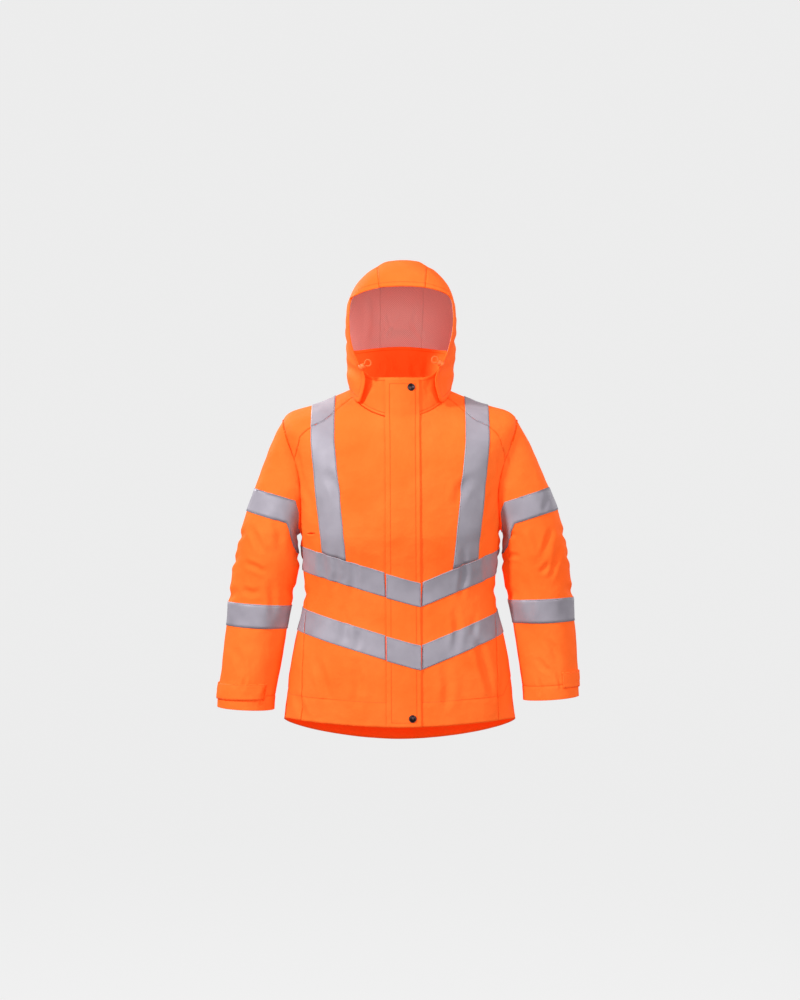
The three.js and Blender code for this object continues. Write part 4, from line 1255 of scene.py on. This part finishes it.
@dataclass
class Hood:
    """The hood's two sides and centre strip, with a stitched casing round its opening.

    Attributes:
        creases: The folds, listed one by one.
        lining_creases: Those of the lining.
        wall: The cloth's thickness.
        casing: The casing's width.
        swell: How far the casing stands out over its cord.
        clear: The least gap between the cloth and its lining.
        topstitch: How far beside the strip's seams its topstitch runs.
        surface: The smooth surface, once it is built.
        rows: The lines that are sewn in orange.
    """

    creases: tuple[Crease, ...]
    lining_creases: tuple[Crease, ...]
    wall: float = 0.002
    casing: float = 0.012
    swell: float = 0.0005
    clear: float = 0.0006
    topstitch: float = 0.003
    surface: Surface = field(init=False)
    rows: list[Row] = field(init=False)

    panels = (("hood_right", HEAD), ("hood_left", HEAD), ("hood_centre", HEAD))
    linings = (("hood_lining_right", HEAD), ("hood_lining_left", HEAD), ("hood_lining_centre", HEAD))

    def build(self, material: bpy.types.Material) -> None:
        """Smooth, fold and dress the hood's cloth.

        Args:
            material: The shell's cloth.
        """
        whole = to_object(skin(self.panels, SEAM_GAP), "whole_hood")
        round_off(whole, 3)
        soften(whole, 140)
        mesh = whole.data
        points, normals = points_of(mesh), normals_of(mesh)
        seams = seam_of(mesh)
        # the opening's edge without the foot's, which runs back from the hood's lower corners
        rim = [p for p in border_points(mesh, at_edge) if p.y < 0.02 - 0.4 * (p.z - 0.02)]
        edge = distance_to(points, rim)
        move = sum(item.push(points, normals) for item in self.creases)
        move = move + 0.0008 * unevenness(points, 0.05, 4.0) + 0.00025 * unevenness(points, 0.018, 9.0)
        move = move - 0.0003 * bell(seams, 0.0025)
        inside = np.clip(edge / self.casing, 0, 1)
        move = move + self.swell * np.sin(math.pi * inside) - 0.0004 * bell(edge - self.casing, 0.002)
        gather = fade(edge, 0.02) * unevenness(points, 0.013, 1.0)
        move_points(mesh, points + normals * (move + 0.0004 * gather)[:, None])
        set_attribute(mesh, "seam", np.minimum(seams, np.abs(edge - self.casing)))
        self.surface = Surface.of(mesh)
        centre = owned_points(mesh, {2})
        self.rows = level_lines(whole, np.where(centre, seams, -seams), self.topstitch)
        self.rows += level_lines(whole, edge, self.casing)
        pieces = split_by_node(whole, [name + "_cloth" for name, _ in self.panels])
        for name, core in self.panels:
            piece = pieces[name + "_cloth"]
            wrap_map(piece.data, core)
            give_wall(piece, self.wall)
            dress(piece, material, Slot.SHELL, name)

    def build_lining(self, material: bpy.types.Material) -> None:
        """Smooth, loosen and dress the mesh lining.

        Args:
            material: The lining's cloth.
        """
        whole = to_object(skin(self.linings, SEAM_GAP), "whole_lining")
        round_off(whole, 3)
        mesh = whole.data
        points, normals = points_of(mesh), normals_of(mesh)
        seams = seam_of(mesh)
        edges = edge_of(mesh)
        loose = np.clip((edges - 0.004) / 0.03, 0, 1)
        slack = -0.0016 * np.abs(unevenness(points, 0.045, 6.0)) - 0.0006 * np.abs(unevenness(points, 0.02, 8.0))
        ridge = -0.0012 * bell(seams, 0.004)
        slack = slack + sum(item.push(points, normals) for item in self.lining_creases)
        move_points(mesh, points + normals * (loose * slack + ridge)[:, None])
        for vertex in mesh.vertices:
            place, normal = self.surface.over(vertex.co, -self.wall - self.clear)
            vertex.co += normal * min((place - vertex.co).dot(normal), 0.0)
        set_attribute(mesh, "seam", seams)
        pieces = split_by_node(whole, [name + "_cloth" for name, _ in self.linings])
        for name, core in self.linings:
            piece = pieces[name + "_cloth"]
            wrap_map(piece.data, core)
            give_wall(piece, 0.0008)
            dress(piece, material, Slot.LINING, name)


@dataclass
class Snap:
    """A snap's domed cap with its rolled rim.

    Attributes:
        node: The CAD node that it stands for.
        radius: The cap's radius.
    """

    node: str
    radius: float = 0.0078

    def build(self, flap: Surface, material: bpy.types.Material) -> None:
        """Spin the cap and press it into the flap.

        Args:
            flap: The storm flap's surface.
            material: The metal.
        """
        low, high = (Vector(corner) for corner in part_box(self.node))
        place, normal = flap.over((low + high) / 2, 0.0)
        profile = [(7.0, -0.6), (7.8, 0.2), (7.75, 0.9), (7.2, 1.35), (6.6, 1.2), (6.2, 1.05), (5.4, 1.5), (3.6, 2.0),
                   (1.6, 2.2), (0, 2.25)]
        cap = spun([(r * MM, z * MM) for r, z in profile], 40)
        turn = Vector((0, 0, 1)).rotation_difference(normal).to_matrix().to_4x4()
        bmesh.ops.transform(cap, matrix=Matrix.Translation(place) @ turn, verts=cap.verts)
        dress(to_object(cap, self.node + "_cap"), material, Slot.SNAP, self.node)


def level_lines(piece: bpy.types.Object, values: np.ndarray, level: float) -> list[Row]:
    """Trace where a value on a sheet's points reaches a level.

    Args:
        piece: The sheet.
        values: One value a point.
        level: The level.

    Returns:
        Lines of places with their normals.
    """
    mesh = piece.data
    crossings: dict[tuple[int, int], tuple[Vector, Vector]] = {}
    links: dict[tuple[int, int], list[tuple[int, int]]] = {}
    for face in mesh.polygons:
        cut = []
        for a, b in face.edge_keys:
            if (values[a] < level) != (values[b] < level):
                share = (level - values[a]) / (values[b] - values[a])
                one, two = mesh.vertices[a], mesh.vertices[b]
                crossings[(a, b)] = (one.co.lerp(two.co, share), one.normal.lerp(two.normal, share).normalized())
                cut.append((a, b))
        if len(cut) == 2:
            links.setdefault(cut[0], []).append(cut[1])
            links.setdefault(cut[1], []).append(cut[0])
    lines, unused = [], set(links)
    while unused:
        ends = [k for k in unused if len(links[k]) == 1]
        key = min(ends) if ends else min(unused)
        line = []
        while key is not None:
            unused.discard(key)
            line.append(crossings[key])
            key = next((k for k in links[key] if k in unused), None)
        if len(line) > 2:
            lines.append(line)
    return lines


@dataclass
class Stitches:
    """One colour of thread: short sunk stitches in rows along the seams.

    Attributes:
        name: The piece's name.
        finish: The thread's finish.
        slot: Its material slot.
        pitch: From one stitch to the next.
        radius: Half the thread's thickness as drawn; the real thread is thinner.
        lift: How far above the cloth the thread's middle lies.
    """

    name: str
    finish: SmallPart
    slot: Slot
    pitch: float = 0.004
    radius: float = 0.00032
    lift: float = 0.00005

    def __post_init__(self) -> None:
        """Start an empty mesh."""
        self.sheet = bmesh.new()
        self.count = 0

    def sew(self, lines: Iterable[Row]) -> None:
        """Set stitches along lines.

        Args:
            lines: Lines of places with their normals.
        """
        for line in lines:
            walked, due = 0.0, self.pitch * 0.5
            for (start, normal), (end, _) in zip(line[:-1], line[1:]):
                span = (end - start).length
                while span > 1e-7 and due <= walked + span:
                    self.stitch(start.lerp(end, (due - walked) / span), (end - start).normalized(), normal)
                    due += self.pitch
                walked += span

    def stitch(self, place: Vector, along: Vector, normal: Vector) -> None:
        """Set one stitch: a thread's length, thickest in its middle.

        Args:
            place: Its middle.
            along: The way that it runs.
            normal: The cloth's normal.
        """
        across = normal.cross(along).normalized()
        turn = Matrix((along, across, normal)).transposed().to_4x4()
        turn.translation = place + normal * self.lift
        made = bmesh.ops.create_cone(self.sheet, cap_ends=True, segments=5, radius1=self.radius,
                                     radius2=self.radius * 0.8, depth=self.pitch * 0.68,
                                     matrix=turn @ Matrix.Rotation(math.pi / 2, 4, "Y"))
        for vertex in made["verts"]:
            for face in vertex.link_faces:
                face.smooth = True
        self.count += 1

    def build(self) -> None:
        """Finish the piece."""
        LOG.info("%s: %d stitches", self.name, self.count)
        dress(to_object(self.sheet, self.name), self.finish.material(), self.slot)


@dataclass
class Zip:
    """The zip behind the storm flap: its woven tape, its moulded teeth and its slider at the top.

    Attributes:
        pitch: From one tooth to the next on the same side.
        tooth: A tooth's length across, along and through, in millimetres.
        top: Where the slider stands.
        behind: How far behind the tape's outer face the teeth lie.
    """

    pitch: float = 0.0032
    tooth: Point = (3.6, 1.5, 2.0)
    top: float = 0.004
    behind: float = 0.0022

    def build(self, cloth: bpy.types.Material) -> None:
        """Lay the tape and set the teeth and slider on its inner face.

        Args:
            cloth: The tape's cloth.
        """
        piece = to_object(skin([("zip_tape", TRUNK)]), "zip_tape_cloth")
        round_off(piece, 2)
        set_attribute(piece.data, "seam", np.ones(len(piece.data.vertices)))
        tape = Surface.of(piece.data)
        wrap_map(piece.data, TRUNK)
        give_wall(piece, 0.001)
        dress(piece, cloth, Slot.SHELL, "zip_tape")
        teeth = bmesh.new()
        heights = [self.top + 0.007 - i * 0.004 for i in range(175)]
        line = [tape.over(Vector((0, -0.2, z)), -self.behind) for z in heights]
        due, walked, side = 0.0, 0.0, 1
        for (start, normal), (end, _) in zip(line[:-1], line[1:]):
            span = (end - start).length
            along = (end - start).normalized()
            while due <= walked + span:
                self.set_tooth(teeth, start.lerp(end, (due - walked) / span), along, normal, side)
                due, side = due + self.pitch / 2, -side
            walked += span
        material = ZIP_PLASTIC.material()
        dress(to_object(teeth, "zip_teeth"), material, Slot.SHELL)
        place, normal = tape.over(Vector((0, -0.2, self.top)), -self.behind)
        slider = bmesh.new()
        bmesh.ops.create_cube(slider, size=1.0)
        bmesh.ops.scale(slider, vec=(0.010, 0.0042, 0.014), verts=slider.verts)
        lower = [v for v in slider.verts if v.co.z < 0]
        bmesh.ops.scale(slider, vec=(0.7, 1, 1), verts=lower)
        bmesh.ops.bevel(slider, geom=slider.edges[:], offset=0.0011, offset_type="OFFSET", affect="EDGES", segments=3,
                        profile=0.5, material=-1)
        turn = Vector((0, -1, 0)).rotation_difference(normal).to_matrix().to_4x4()
        bmesh.ops.transform(slider, matrix=Matrix.Translation(place) @ turn, verts=slider.verts)
        for face in slider.faces:
            face.smooth = True
        dress(to_object(slider, "zip_slider"), material, Slot.SHELL)

    def set_tooth(self, teeth: bmesh.types.BMesh, place: Vector, along: Vector, normal: Vector, side: int) -> None:
        """Set one tooth.

        Args:
            teeth: The mesh that it joins.
            place: Where on the zip's middle line.
            along: The way that the line runs.
            normal: The tape's normal.
            side: 1 or -1 for the half that it belongs to.
        """
        across = normal.cross(along).normalized()
        length, width, depth = (v * MM for v in self.tooth)
        turn = Matrix((across * length, along * width, normal * depth)).transposed().to_4x4()
        turn.translation = place + across * (side * 0.0009)
        bmesh.ops.create_cube(teeth, size=1.0, matrix=turn)


# The folds, listed one by one, in millimetres as seen from each side

F, B, R, L, T = Look.FRONT, Look.BACK, Look.RIGHT, Look.LEFT, Look.TOP
BODY_CREASES = (
    # wearer's right sleeve, front
    crease(F, 7, 4.4, (-312, -288), (-298, -312), (-283, -346)),
    crease(F, 6, 3.4, (-324, -364), (-302, -372), (-276, -386)),
    crease(F, 9, 3.4, (-262, -262), (-250, -300), (-246, -344)),
    crease(F, 7, 2.8, (-330, -420), (-306, -428), (-286, -424)),
    crease(F, 8, 3.1, (-268, -398), (-262, -440), (-264, -486)),
    crease(F, 6, 3.1, (-276, -618), (-280, -640), (-284, -660)),
    crease(F, 8, 2.5, (-340, -540), (-330, -572), (-326, -602)),
    # wearer's left sleeve, front
    crease(F, 7, 4.2, (316, -290), (304, -326), (295, -358)),
    crease(F, 6, 3.4, (331, -332), (322, -366), (310, -400)),
    crease(F, 6, 3.4, (311, -364), (298, -378), (288, -388)),
    crease(F, 5, 3.1, (213, -307), (226, -308), (240, -306)),
    crease(F, 5, 3.4, (213, -346), (232, -350), (249, -352)),
    crease(F, 9, -3.1, (258, -294), (270, -330), (280, -366)),
    crease(F, 5, 2.8, (311, -220), (302, -242), (294, -262)),
    crease(F, 8, 2.8, (260, -400), (268, -440), (270, -480)),
    crease(F, 7, 2.8, (300, -520), (316, -540), (330, -566)),
    crease(F, 6, 2.5, (284, -560), (296, -580), (312, -592)),
    # front armholes
    crease(F, 5, 2.8, (-214, -128), (-208, -160), (-202, -196)),
    crease(F, 7, 2.8, (-196, -206), (-186, -236), (-184, -270)),
    crease(F, 4, 2.5, (202, -146), (204, -166), (205, -186)),
    crease(F, 4, 2.2, (218, -140), (222, -152), (226, -166)),
    crease(F, 7, 2.8, (192, -210), (184, -240), (180, -276)),
    # chest and waist, front
    crease(F, 9, 3.2, (-152, -176), (-132, -206), (-120, -240)),
    crease(F, 10, 3.5, (146, -186), (124, -214), (112, -250)),
    crease(F, 7, 3.2, (-159, -318), (-160, -372), (-152, -420)),
    crease(F, 6, 2.8, (-130, -336), (-128, -380), (-134, -424)),
    crease(F, 8, 3.1, (-97, -330), (-94, -390), (-98, -440)),
    crease(F, 7, 3.2, (128, -330), (131, -384), (124, -440)),
    crease(F, 7, 3.2, (178, -326), (176, -372), (184, -420)),
    crease(F, 9, 3.2, (-120, -450), (-112, -490), (-116, -530)),
    crease(F, 8, 3.2, (112, -452), (118, -500), (112, -548)),
    # skirt, front
    crease(F, 9, 4.3, (-172, -556), (-158, -600), (-144, -648)),
    crease(F, 8, 3.2, (-218, -632), (-206, -660), (-192, -688)),
    crease(F, 9, 4.8, (160, -520), (178, -590), (196, -650)),
    crease(F, 8, 3.2, (206, -600), (212, -640), (210, -680)),
    crease(F, 10, 3.9, (-92, -560), (-84, -610), (-90, -660)),
    crease(F, 10, 3.9, (88, -566), (98, -612), (94, -664)),
    crease(F, 6.5, 1.6, (-150, -352), (-151, -372), (-148, -396)),
    crease(F, 6.5, 1.6, (-116, -368), (-114, -388), (-117, -408)),
    crease(F, 6.5, 1.6, (135, -366), (137, -388), (134, -410)),
    crease(F, 6.5, 1.6, (188, -352), (184, -376), (187, -398)),
    crease(F, 6.5, 1.6, (-86, -502), (-84, -522), (-88, -544)),
    crease(F, 6.5, 1.6, (150, -470), (153, -494), (149, -516)),
    # cuffs
    crease(F, 4, 2.8, (-278, -622), (-284, -640), (-287, -662)),
    crease(F, 4, 2.2, (-318, -596), (-322, -618), (-330, -632)),
    crease(F, 4, 2.5, (322, -590), (330, -608), (334, -628)),
    crease(F, 4, 2.2, (284, -600), (290, -622), (288, -640)),
    # back: shoulder blades, waist and tail
    crease(B, 10, 3.9, (-150, -120), (-120, -170), (-104, -226)),
    crease(B, 10, 3.9, (148, -130), (122, -176), (110, -236)),
    crease(B, 8, 4.3, (-206, -150), (-196, -190), (-190, -236)),
    crease(B, 8, 4.3, (206, -146), (198, -196), (188, -244)),
    crease(B, 9, 4.8, (-70, -392), (-30, -404), (14, -398)),
    crease(B, 8, 4.1, (20, -420), (66, -432), (112, -422)),
    crease(B, 9, 3.9, (-132, -424), (-96, -440), (-52, -436)),
    crease(B, 10, 4.3, (-120, -540), (-126, -600), (-118, -690)),
    crease(B, 10, 4.8, (-40, -560), (-34, -630), (-44, -720)),
    crease(B, 9, 4.1, (52, -550), (60, -620), (54, -700)),
    crease(B, 10, 4.6, (134, -560), (146, -620), (142, -690)),
    crease(B, 8, 3.9, (196, -580), (204, -630), (198, -680)),
    crease(B, 8, 3.5, (-190, -570), (-198, -630), (-194, -676)),
    # sleeves, back
    crease(B, 7, 3.9, (-318, -300), (-300, -322), (-276, -330)),
    crease(B, 7, 3.6, (-326, -352), (-304, -366), (-276, -368)),
    crease(B, 7, 3.1, (-334, -400), (-312, -412), (-286, -408)),
    crease(B, 8, 3.1, (-300, -520), (-318, -544), (-340, -552)),
    crease(B, 7, 3.9, (314, -294), (296, -316), (268, -328)),
    crease(B, 7, 3.4, (324, -346), (300, -362), (272, -360)),
    crease(B, 7, 3.1, (330, -396), (308, -410), (280, -412)),
    crease(B, 8, 3.1, (290, -514), (310, -536), (334, -548)),
    # sleeves, outer sides
    crease(R, 8, 3.4, (-44, -300), (-10, -314), (30, -306)),
    crease(R, 8, 3.1, (-34, -352), (4, -366), (40, -354)),
    crease(R, 9, 3.1, (-50, -420), (-20, -436), (20, -430)),
    crease(L, 8, 3.4, (-46, -294), (-8, -308), (34, -300)),
    crease(L, 8, 3.1, (-36, -344), (6, -360), (38, -350)),
    crease(L, 9, 3.1, (-48, -414), (-16, -428), (24, -424)),
)
HOOD_CREASES = (
    crease(R, 10, 3.1, (-70, 20), (-30, 40), (20, 46)),
    crease(R, 10, 3.1, (-40, 80), (0, 104), (50, 110)),
    crease(R, 9, 3.1, (10, -6), (50, 16), (84, 24)),
    crease(R, 9, 2.8, (-60, 140), (-20, 168), (30, 176)),
    crease(L, 10, 3.1, (-66, 26), (-24, 44), (24, 44)),
    crease(L, 10, 3.1, (-44, 86), (4, 100), (46, 116)),
    crease(L, 9, 3.1, (8, -2), (46, 18), (88, 20)),
    crease(L, 9, 2.8, (-56, 146), (-16, 160), (36, 180)),
    crease(B, 11, 3.4, (-92, 20), (-30, 8), (30, 12), (88, 26)),
    crease(B, 10, 3.4, (-70, 60), (-10, 50), (56, 62)),
    crease(B, 9, 2.8, (-36, 110), (0, 120), (40, 112)),
    crease(T, 9, 2.5, (-60, -40), (-40, 0), (-44, 50)),
    crease(T, 9, 2.5, (62, -44), (46, 4), (50, 46)),
)
COLLAR_CREASES = (
    crease(F, 6, 1.9, (-60, -12), (-52, 4), (-54, 16)),
    crease(F, 6, 1.9, (62, -20), (56, -2), (60, 16)),
    crease(B, 7, 2.6, (-40, 14), (-32, 44), (-36, 76)),
    crease(B, 6, 2.2, (-14, 20), (-6, 46), (-12, 74)),
    crease(B, 8, -2.0, (10, 16), (16, 48), (12, 78)),
    crease(B, 7, 2.6, (38, 14), (32, 44), (44, 72)),
)
LINING_CREASES = (
    crease(B, 3, 3.6, (12, 186), (-14, 142), (-42, 95)),
    crease(B, 12, 7.0, (-74, 212), (-70, 150), (-78, 92)),
    crease(B, 13, 6.0, (44, 200), (30, 150), (52, 96)),
    crease(B, 9, 5.2, (-30, 206), (-36, 160), (-20, 110)),
    crease(B, 7, -3.2, (66, 190), (70, 140), (62, 100)),
)
LOCKS = (
    CordLock(Side.LEFT, (0.0837, -0.0966, 0.0447), (-0.852, -0.061, 0.519), (0.522, -0.052, 0.851)),
    CordLock(Side.RIGHT, (-0.0778, -0.0963, 0.0378), (0.826, -0.084, 0.557), (-0.562, -0.042, 0.826)),
)
BODY_BANDS = tuple(
    Overlay(f"band_{row}_{panel}", TRUNK, levels=3, reach=(0.0, 0.0024) if panel == "front_right" else (0.0, 0.0))
    for row in ("upper", "lower") for panel in ("front_right", "front_left", "back")
)
BRACES = tuple(
    Overlay(f"brace_{panel}_{side.value}", TRUNK) for panel in ("front", "back", "yoke") for side in Side
)
SLEEVE_BANDS = tuple(
    Overlay(f"sleeve_band_{row}_{side.value}", core)
    for side, core in ((Side.RIGHT, ARM_RIGHT), (Side.LEFT, ARM_LEFT)) for row in ("upper", "lower")
)
TABS = (
    Overlay("cuff_tab_right", ARM_RIGHT, wall=0.0022, swell=0.0006),
    Overlay("cuff_tab_left", ARM_LEFT, wall=0.0022, swell=0.0006),
)
STORM_FLAP = Overlay("storm_flap", TRUNK, lift=0.0009, wall=0.0021, levels=3, swell=0.0005, row=0.0095, even=8)
FLAP_BANDS = tuple(Overlay(f"band_{row}_flap", TRUNK, levels=3, reach=(0.0022, 0.0022)) for row in ("upper", "lower"))
# Each sheet's name, width and length, how it is held and on what
CUTS = (
    Cut("front_right_cloth", 270, 690, Hold.HUNG, "yoke_right_cloth"),
    Cut("front_left_cloth", 270, 690, Hold.HUNG, "yoke_left_cloth"),
    Cut("back_cloth", 600, 800, Hold.HUNG, "yoke_right_cloth"),
    Cut("yoke_right_cloth", 155, 205, Hold.DRAPED),
    Cut("yoke_left_cloth", 155, 205, Hold.DRAPED),
    Cut("sleeve_right_cloth", 440, 620, Hold.HUNG, "yoke_right_cloth"),
    Cut("sleeve_left_cloth", 440, 600, Hold.HUNG, "yoke_left_cloth"),
    Cut("collar_cloth", 530, 110, Hold.STRETCHED, "back_cloth"),
    Cut("hood_right_cloth", 260, 330, Hold.DRAPED, "collar_cloth"),
    Cut("hood_left_cloth", 260, 330, Hold.DRAPED, "collar_cloth"),
    Cut("hood_centre_cloth", 105, 520, Hold.DRAPED, "collar_cloth"),
    Cut("hood_lining_right_cloth", 240, 290, Hold.HUNG, "hood_right_cloth"),
    Cut("hood_lining_left_cloth", 240, 290, Hold.HUNG, "hood_left_cloth"),
    Cut("hood_lining_centre_cloth", 100, 410, Hold.HUNG, "hood_centre_cloth"),
    Cut("storm_flap_cloth", 78, 725, Hold.HUNG, "front_right_cloth"),
    Cut("zip_tape_cloth", 27, 715, Hold.STRETCHED, "front_right_cloth"),
    Cut("cuff_tab_right_cloth", 45, 140, Hold.LAID, "sleeve_right_cloth"),
    Cut("cuff_tab_left_cloth", 45, 100, Hold.LAID, "sleeve_left_cloth"),
    Cut("band_upper_front_right_tape", 50, 236, Hold.LAID, "front_right_cloth"),
    Cut("band_upper_front_left_tape", 50, 214, Hold.LAID, "front_left_cloth"),
    Cut("band_upper_back_tape", 50, 568, Hold.LAID, "back_cloth"),
    Cut("band_upper_flap_tape", 50, 74, Hold.LAID, "storm_flap_cloth"),
    Cut("band_lower_front_right_tape", 50, 192, Hold.LAID, "front_right_cloth"),
    Cut("band_lower_front_left_tape", 50, 178, Hold.LAID, "front_left_cloth"),
    Cut("band_lower_back_tape", 50, 640, Hold.LAID, "back_cloth"),
    Cut("band_lower_flap_tape", 50, 74, Hold.LAID, "storm_flap_cloth"),
    Cut("brace_front_right_tape", 50, 322, Hold.LAID, "front_right_cloth"),
    Cut("brace_front_left_tape", 50, 340, Hold.LAID, "front_left_cloth"),
    Cut("brace_back_right_tape", 50, 340, Hold.LAID, "back_cloth"),
    Cut("brace_back_left_tape", 50, 340, Hold.LAID, "back_cloth"),
    Cut("brace_yoke_right_tape", 50, 138, Hold.LAID, "yoke_right_cloth"),
    Cut("brace_yoke_left_tape", 50, 138, Hold.LAID, "yoke_left_cloth"),
    Cut("sleeve_band_upper_right_tape", 50, 436, Hold.LAID, "sleeve_right_cloth"),
    Cut("sleeve_band_lower_right_tape", 50, 432, Hold.LAID, "sleeve_right_cloth"),
    Cut("sleeve_band_upper_left_tape", 50, 442, Hold.LAID, "sleeve_left_cloth"),
    Cut("sleeve_band_lower_left_tape", 50, 438, Hold.LAID, "sleeve_left_cloth"),
)


def add_overlay(overlay: Overlay, under: Surface, material: bpy.types.Material, slot: Slot,
                thread: Stitches) -> Surface:
    """Build an overlay, sew round its edge, and finish it.

    Args:
        overlay: The piece.
        under: What it is sewn to.
        material: Its material.
        slot: Its material slot.
        thread: The thread that it is sewn with.

    Returns:
        Its surface, for what lies on it.
    """
    piece = overlay.build(under, "cloth" if slot is Slot.SHELL else "tape")
    surface = Surface.of(piece.data)
    thread.sew(level_lines(piece, edge_of(piece.data), overlay.row))
    give_wall(piece, overlay.wall)
    dress(piece, material, slot, overlay.node)
    return surface


def main() -> None:
    """Build the jacket's pieces in order."""
    logging.basicConfig(level=logging.INFO, format="%(message)s")
    studio = Studio()
    studio.set_camera()
    for lock in LOCKS:
        lock.build_cord()
        lock.build_lock()
    studio.set_lights()
    studio.set_floor()
    cloth, silver, lining = SHELL_CLOTH.material(), TAPE_CLOTH.material(), LINING_CLOTH.material()
    orange = Stitches("orange_stitches", THREAD, Slot.SHELL)
    grey = Stitches("grey_stitches", TAPE_THREAD, Slot.TAPE)

    body = BodyShell(BODY_CREASES)
    body.build()
    body.finish(cloth)
    Zip().build(cloth)
    collar = Collar(COLLAR_CREASES)
    collar.build(cloth)
    hood = Hood(HOOD_CREASES, LINING_CREASES)
    hood.build(cloth)
    hood.build_lining(lining)

    for rows in (body.rows, collar.rows, hood.rows):
        orange.sew(rows)
    for overlay in BODY_BANDS + BRACES + SLEEVE_BANDS:
        add_overlay(overlay, body.surface, silver, Slot.TAPE, grey)
    for overlay in TABS:
        add_overlay(overlay, body.surface, cloth, Slot.SHELL, orange)
    flap = add_overlay(STORM_FLAP, body.surface.joined(collar.surface), cloth, Slot.SHELL, orange)
    for overlay in FLAP_BANDS:
        add_overlay(overlay, flap, silver, Slot.TAPE, grey)
    metal = SNAP_METAL.material()
    for node in ("snap_collar", "snap_hem"):
        Snap(node).build(flap, metal)
    orange.build()
    grey.build()
    for cut in CUTS:
        cut.declare()


if __name__ == "__main__":
    main()
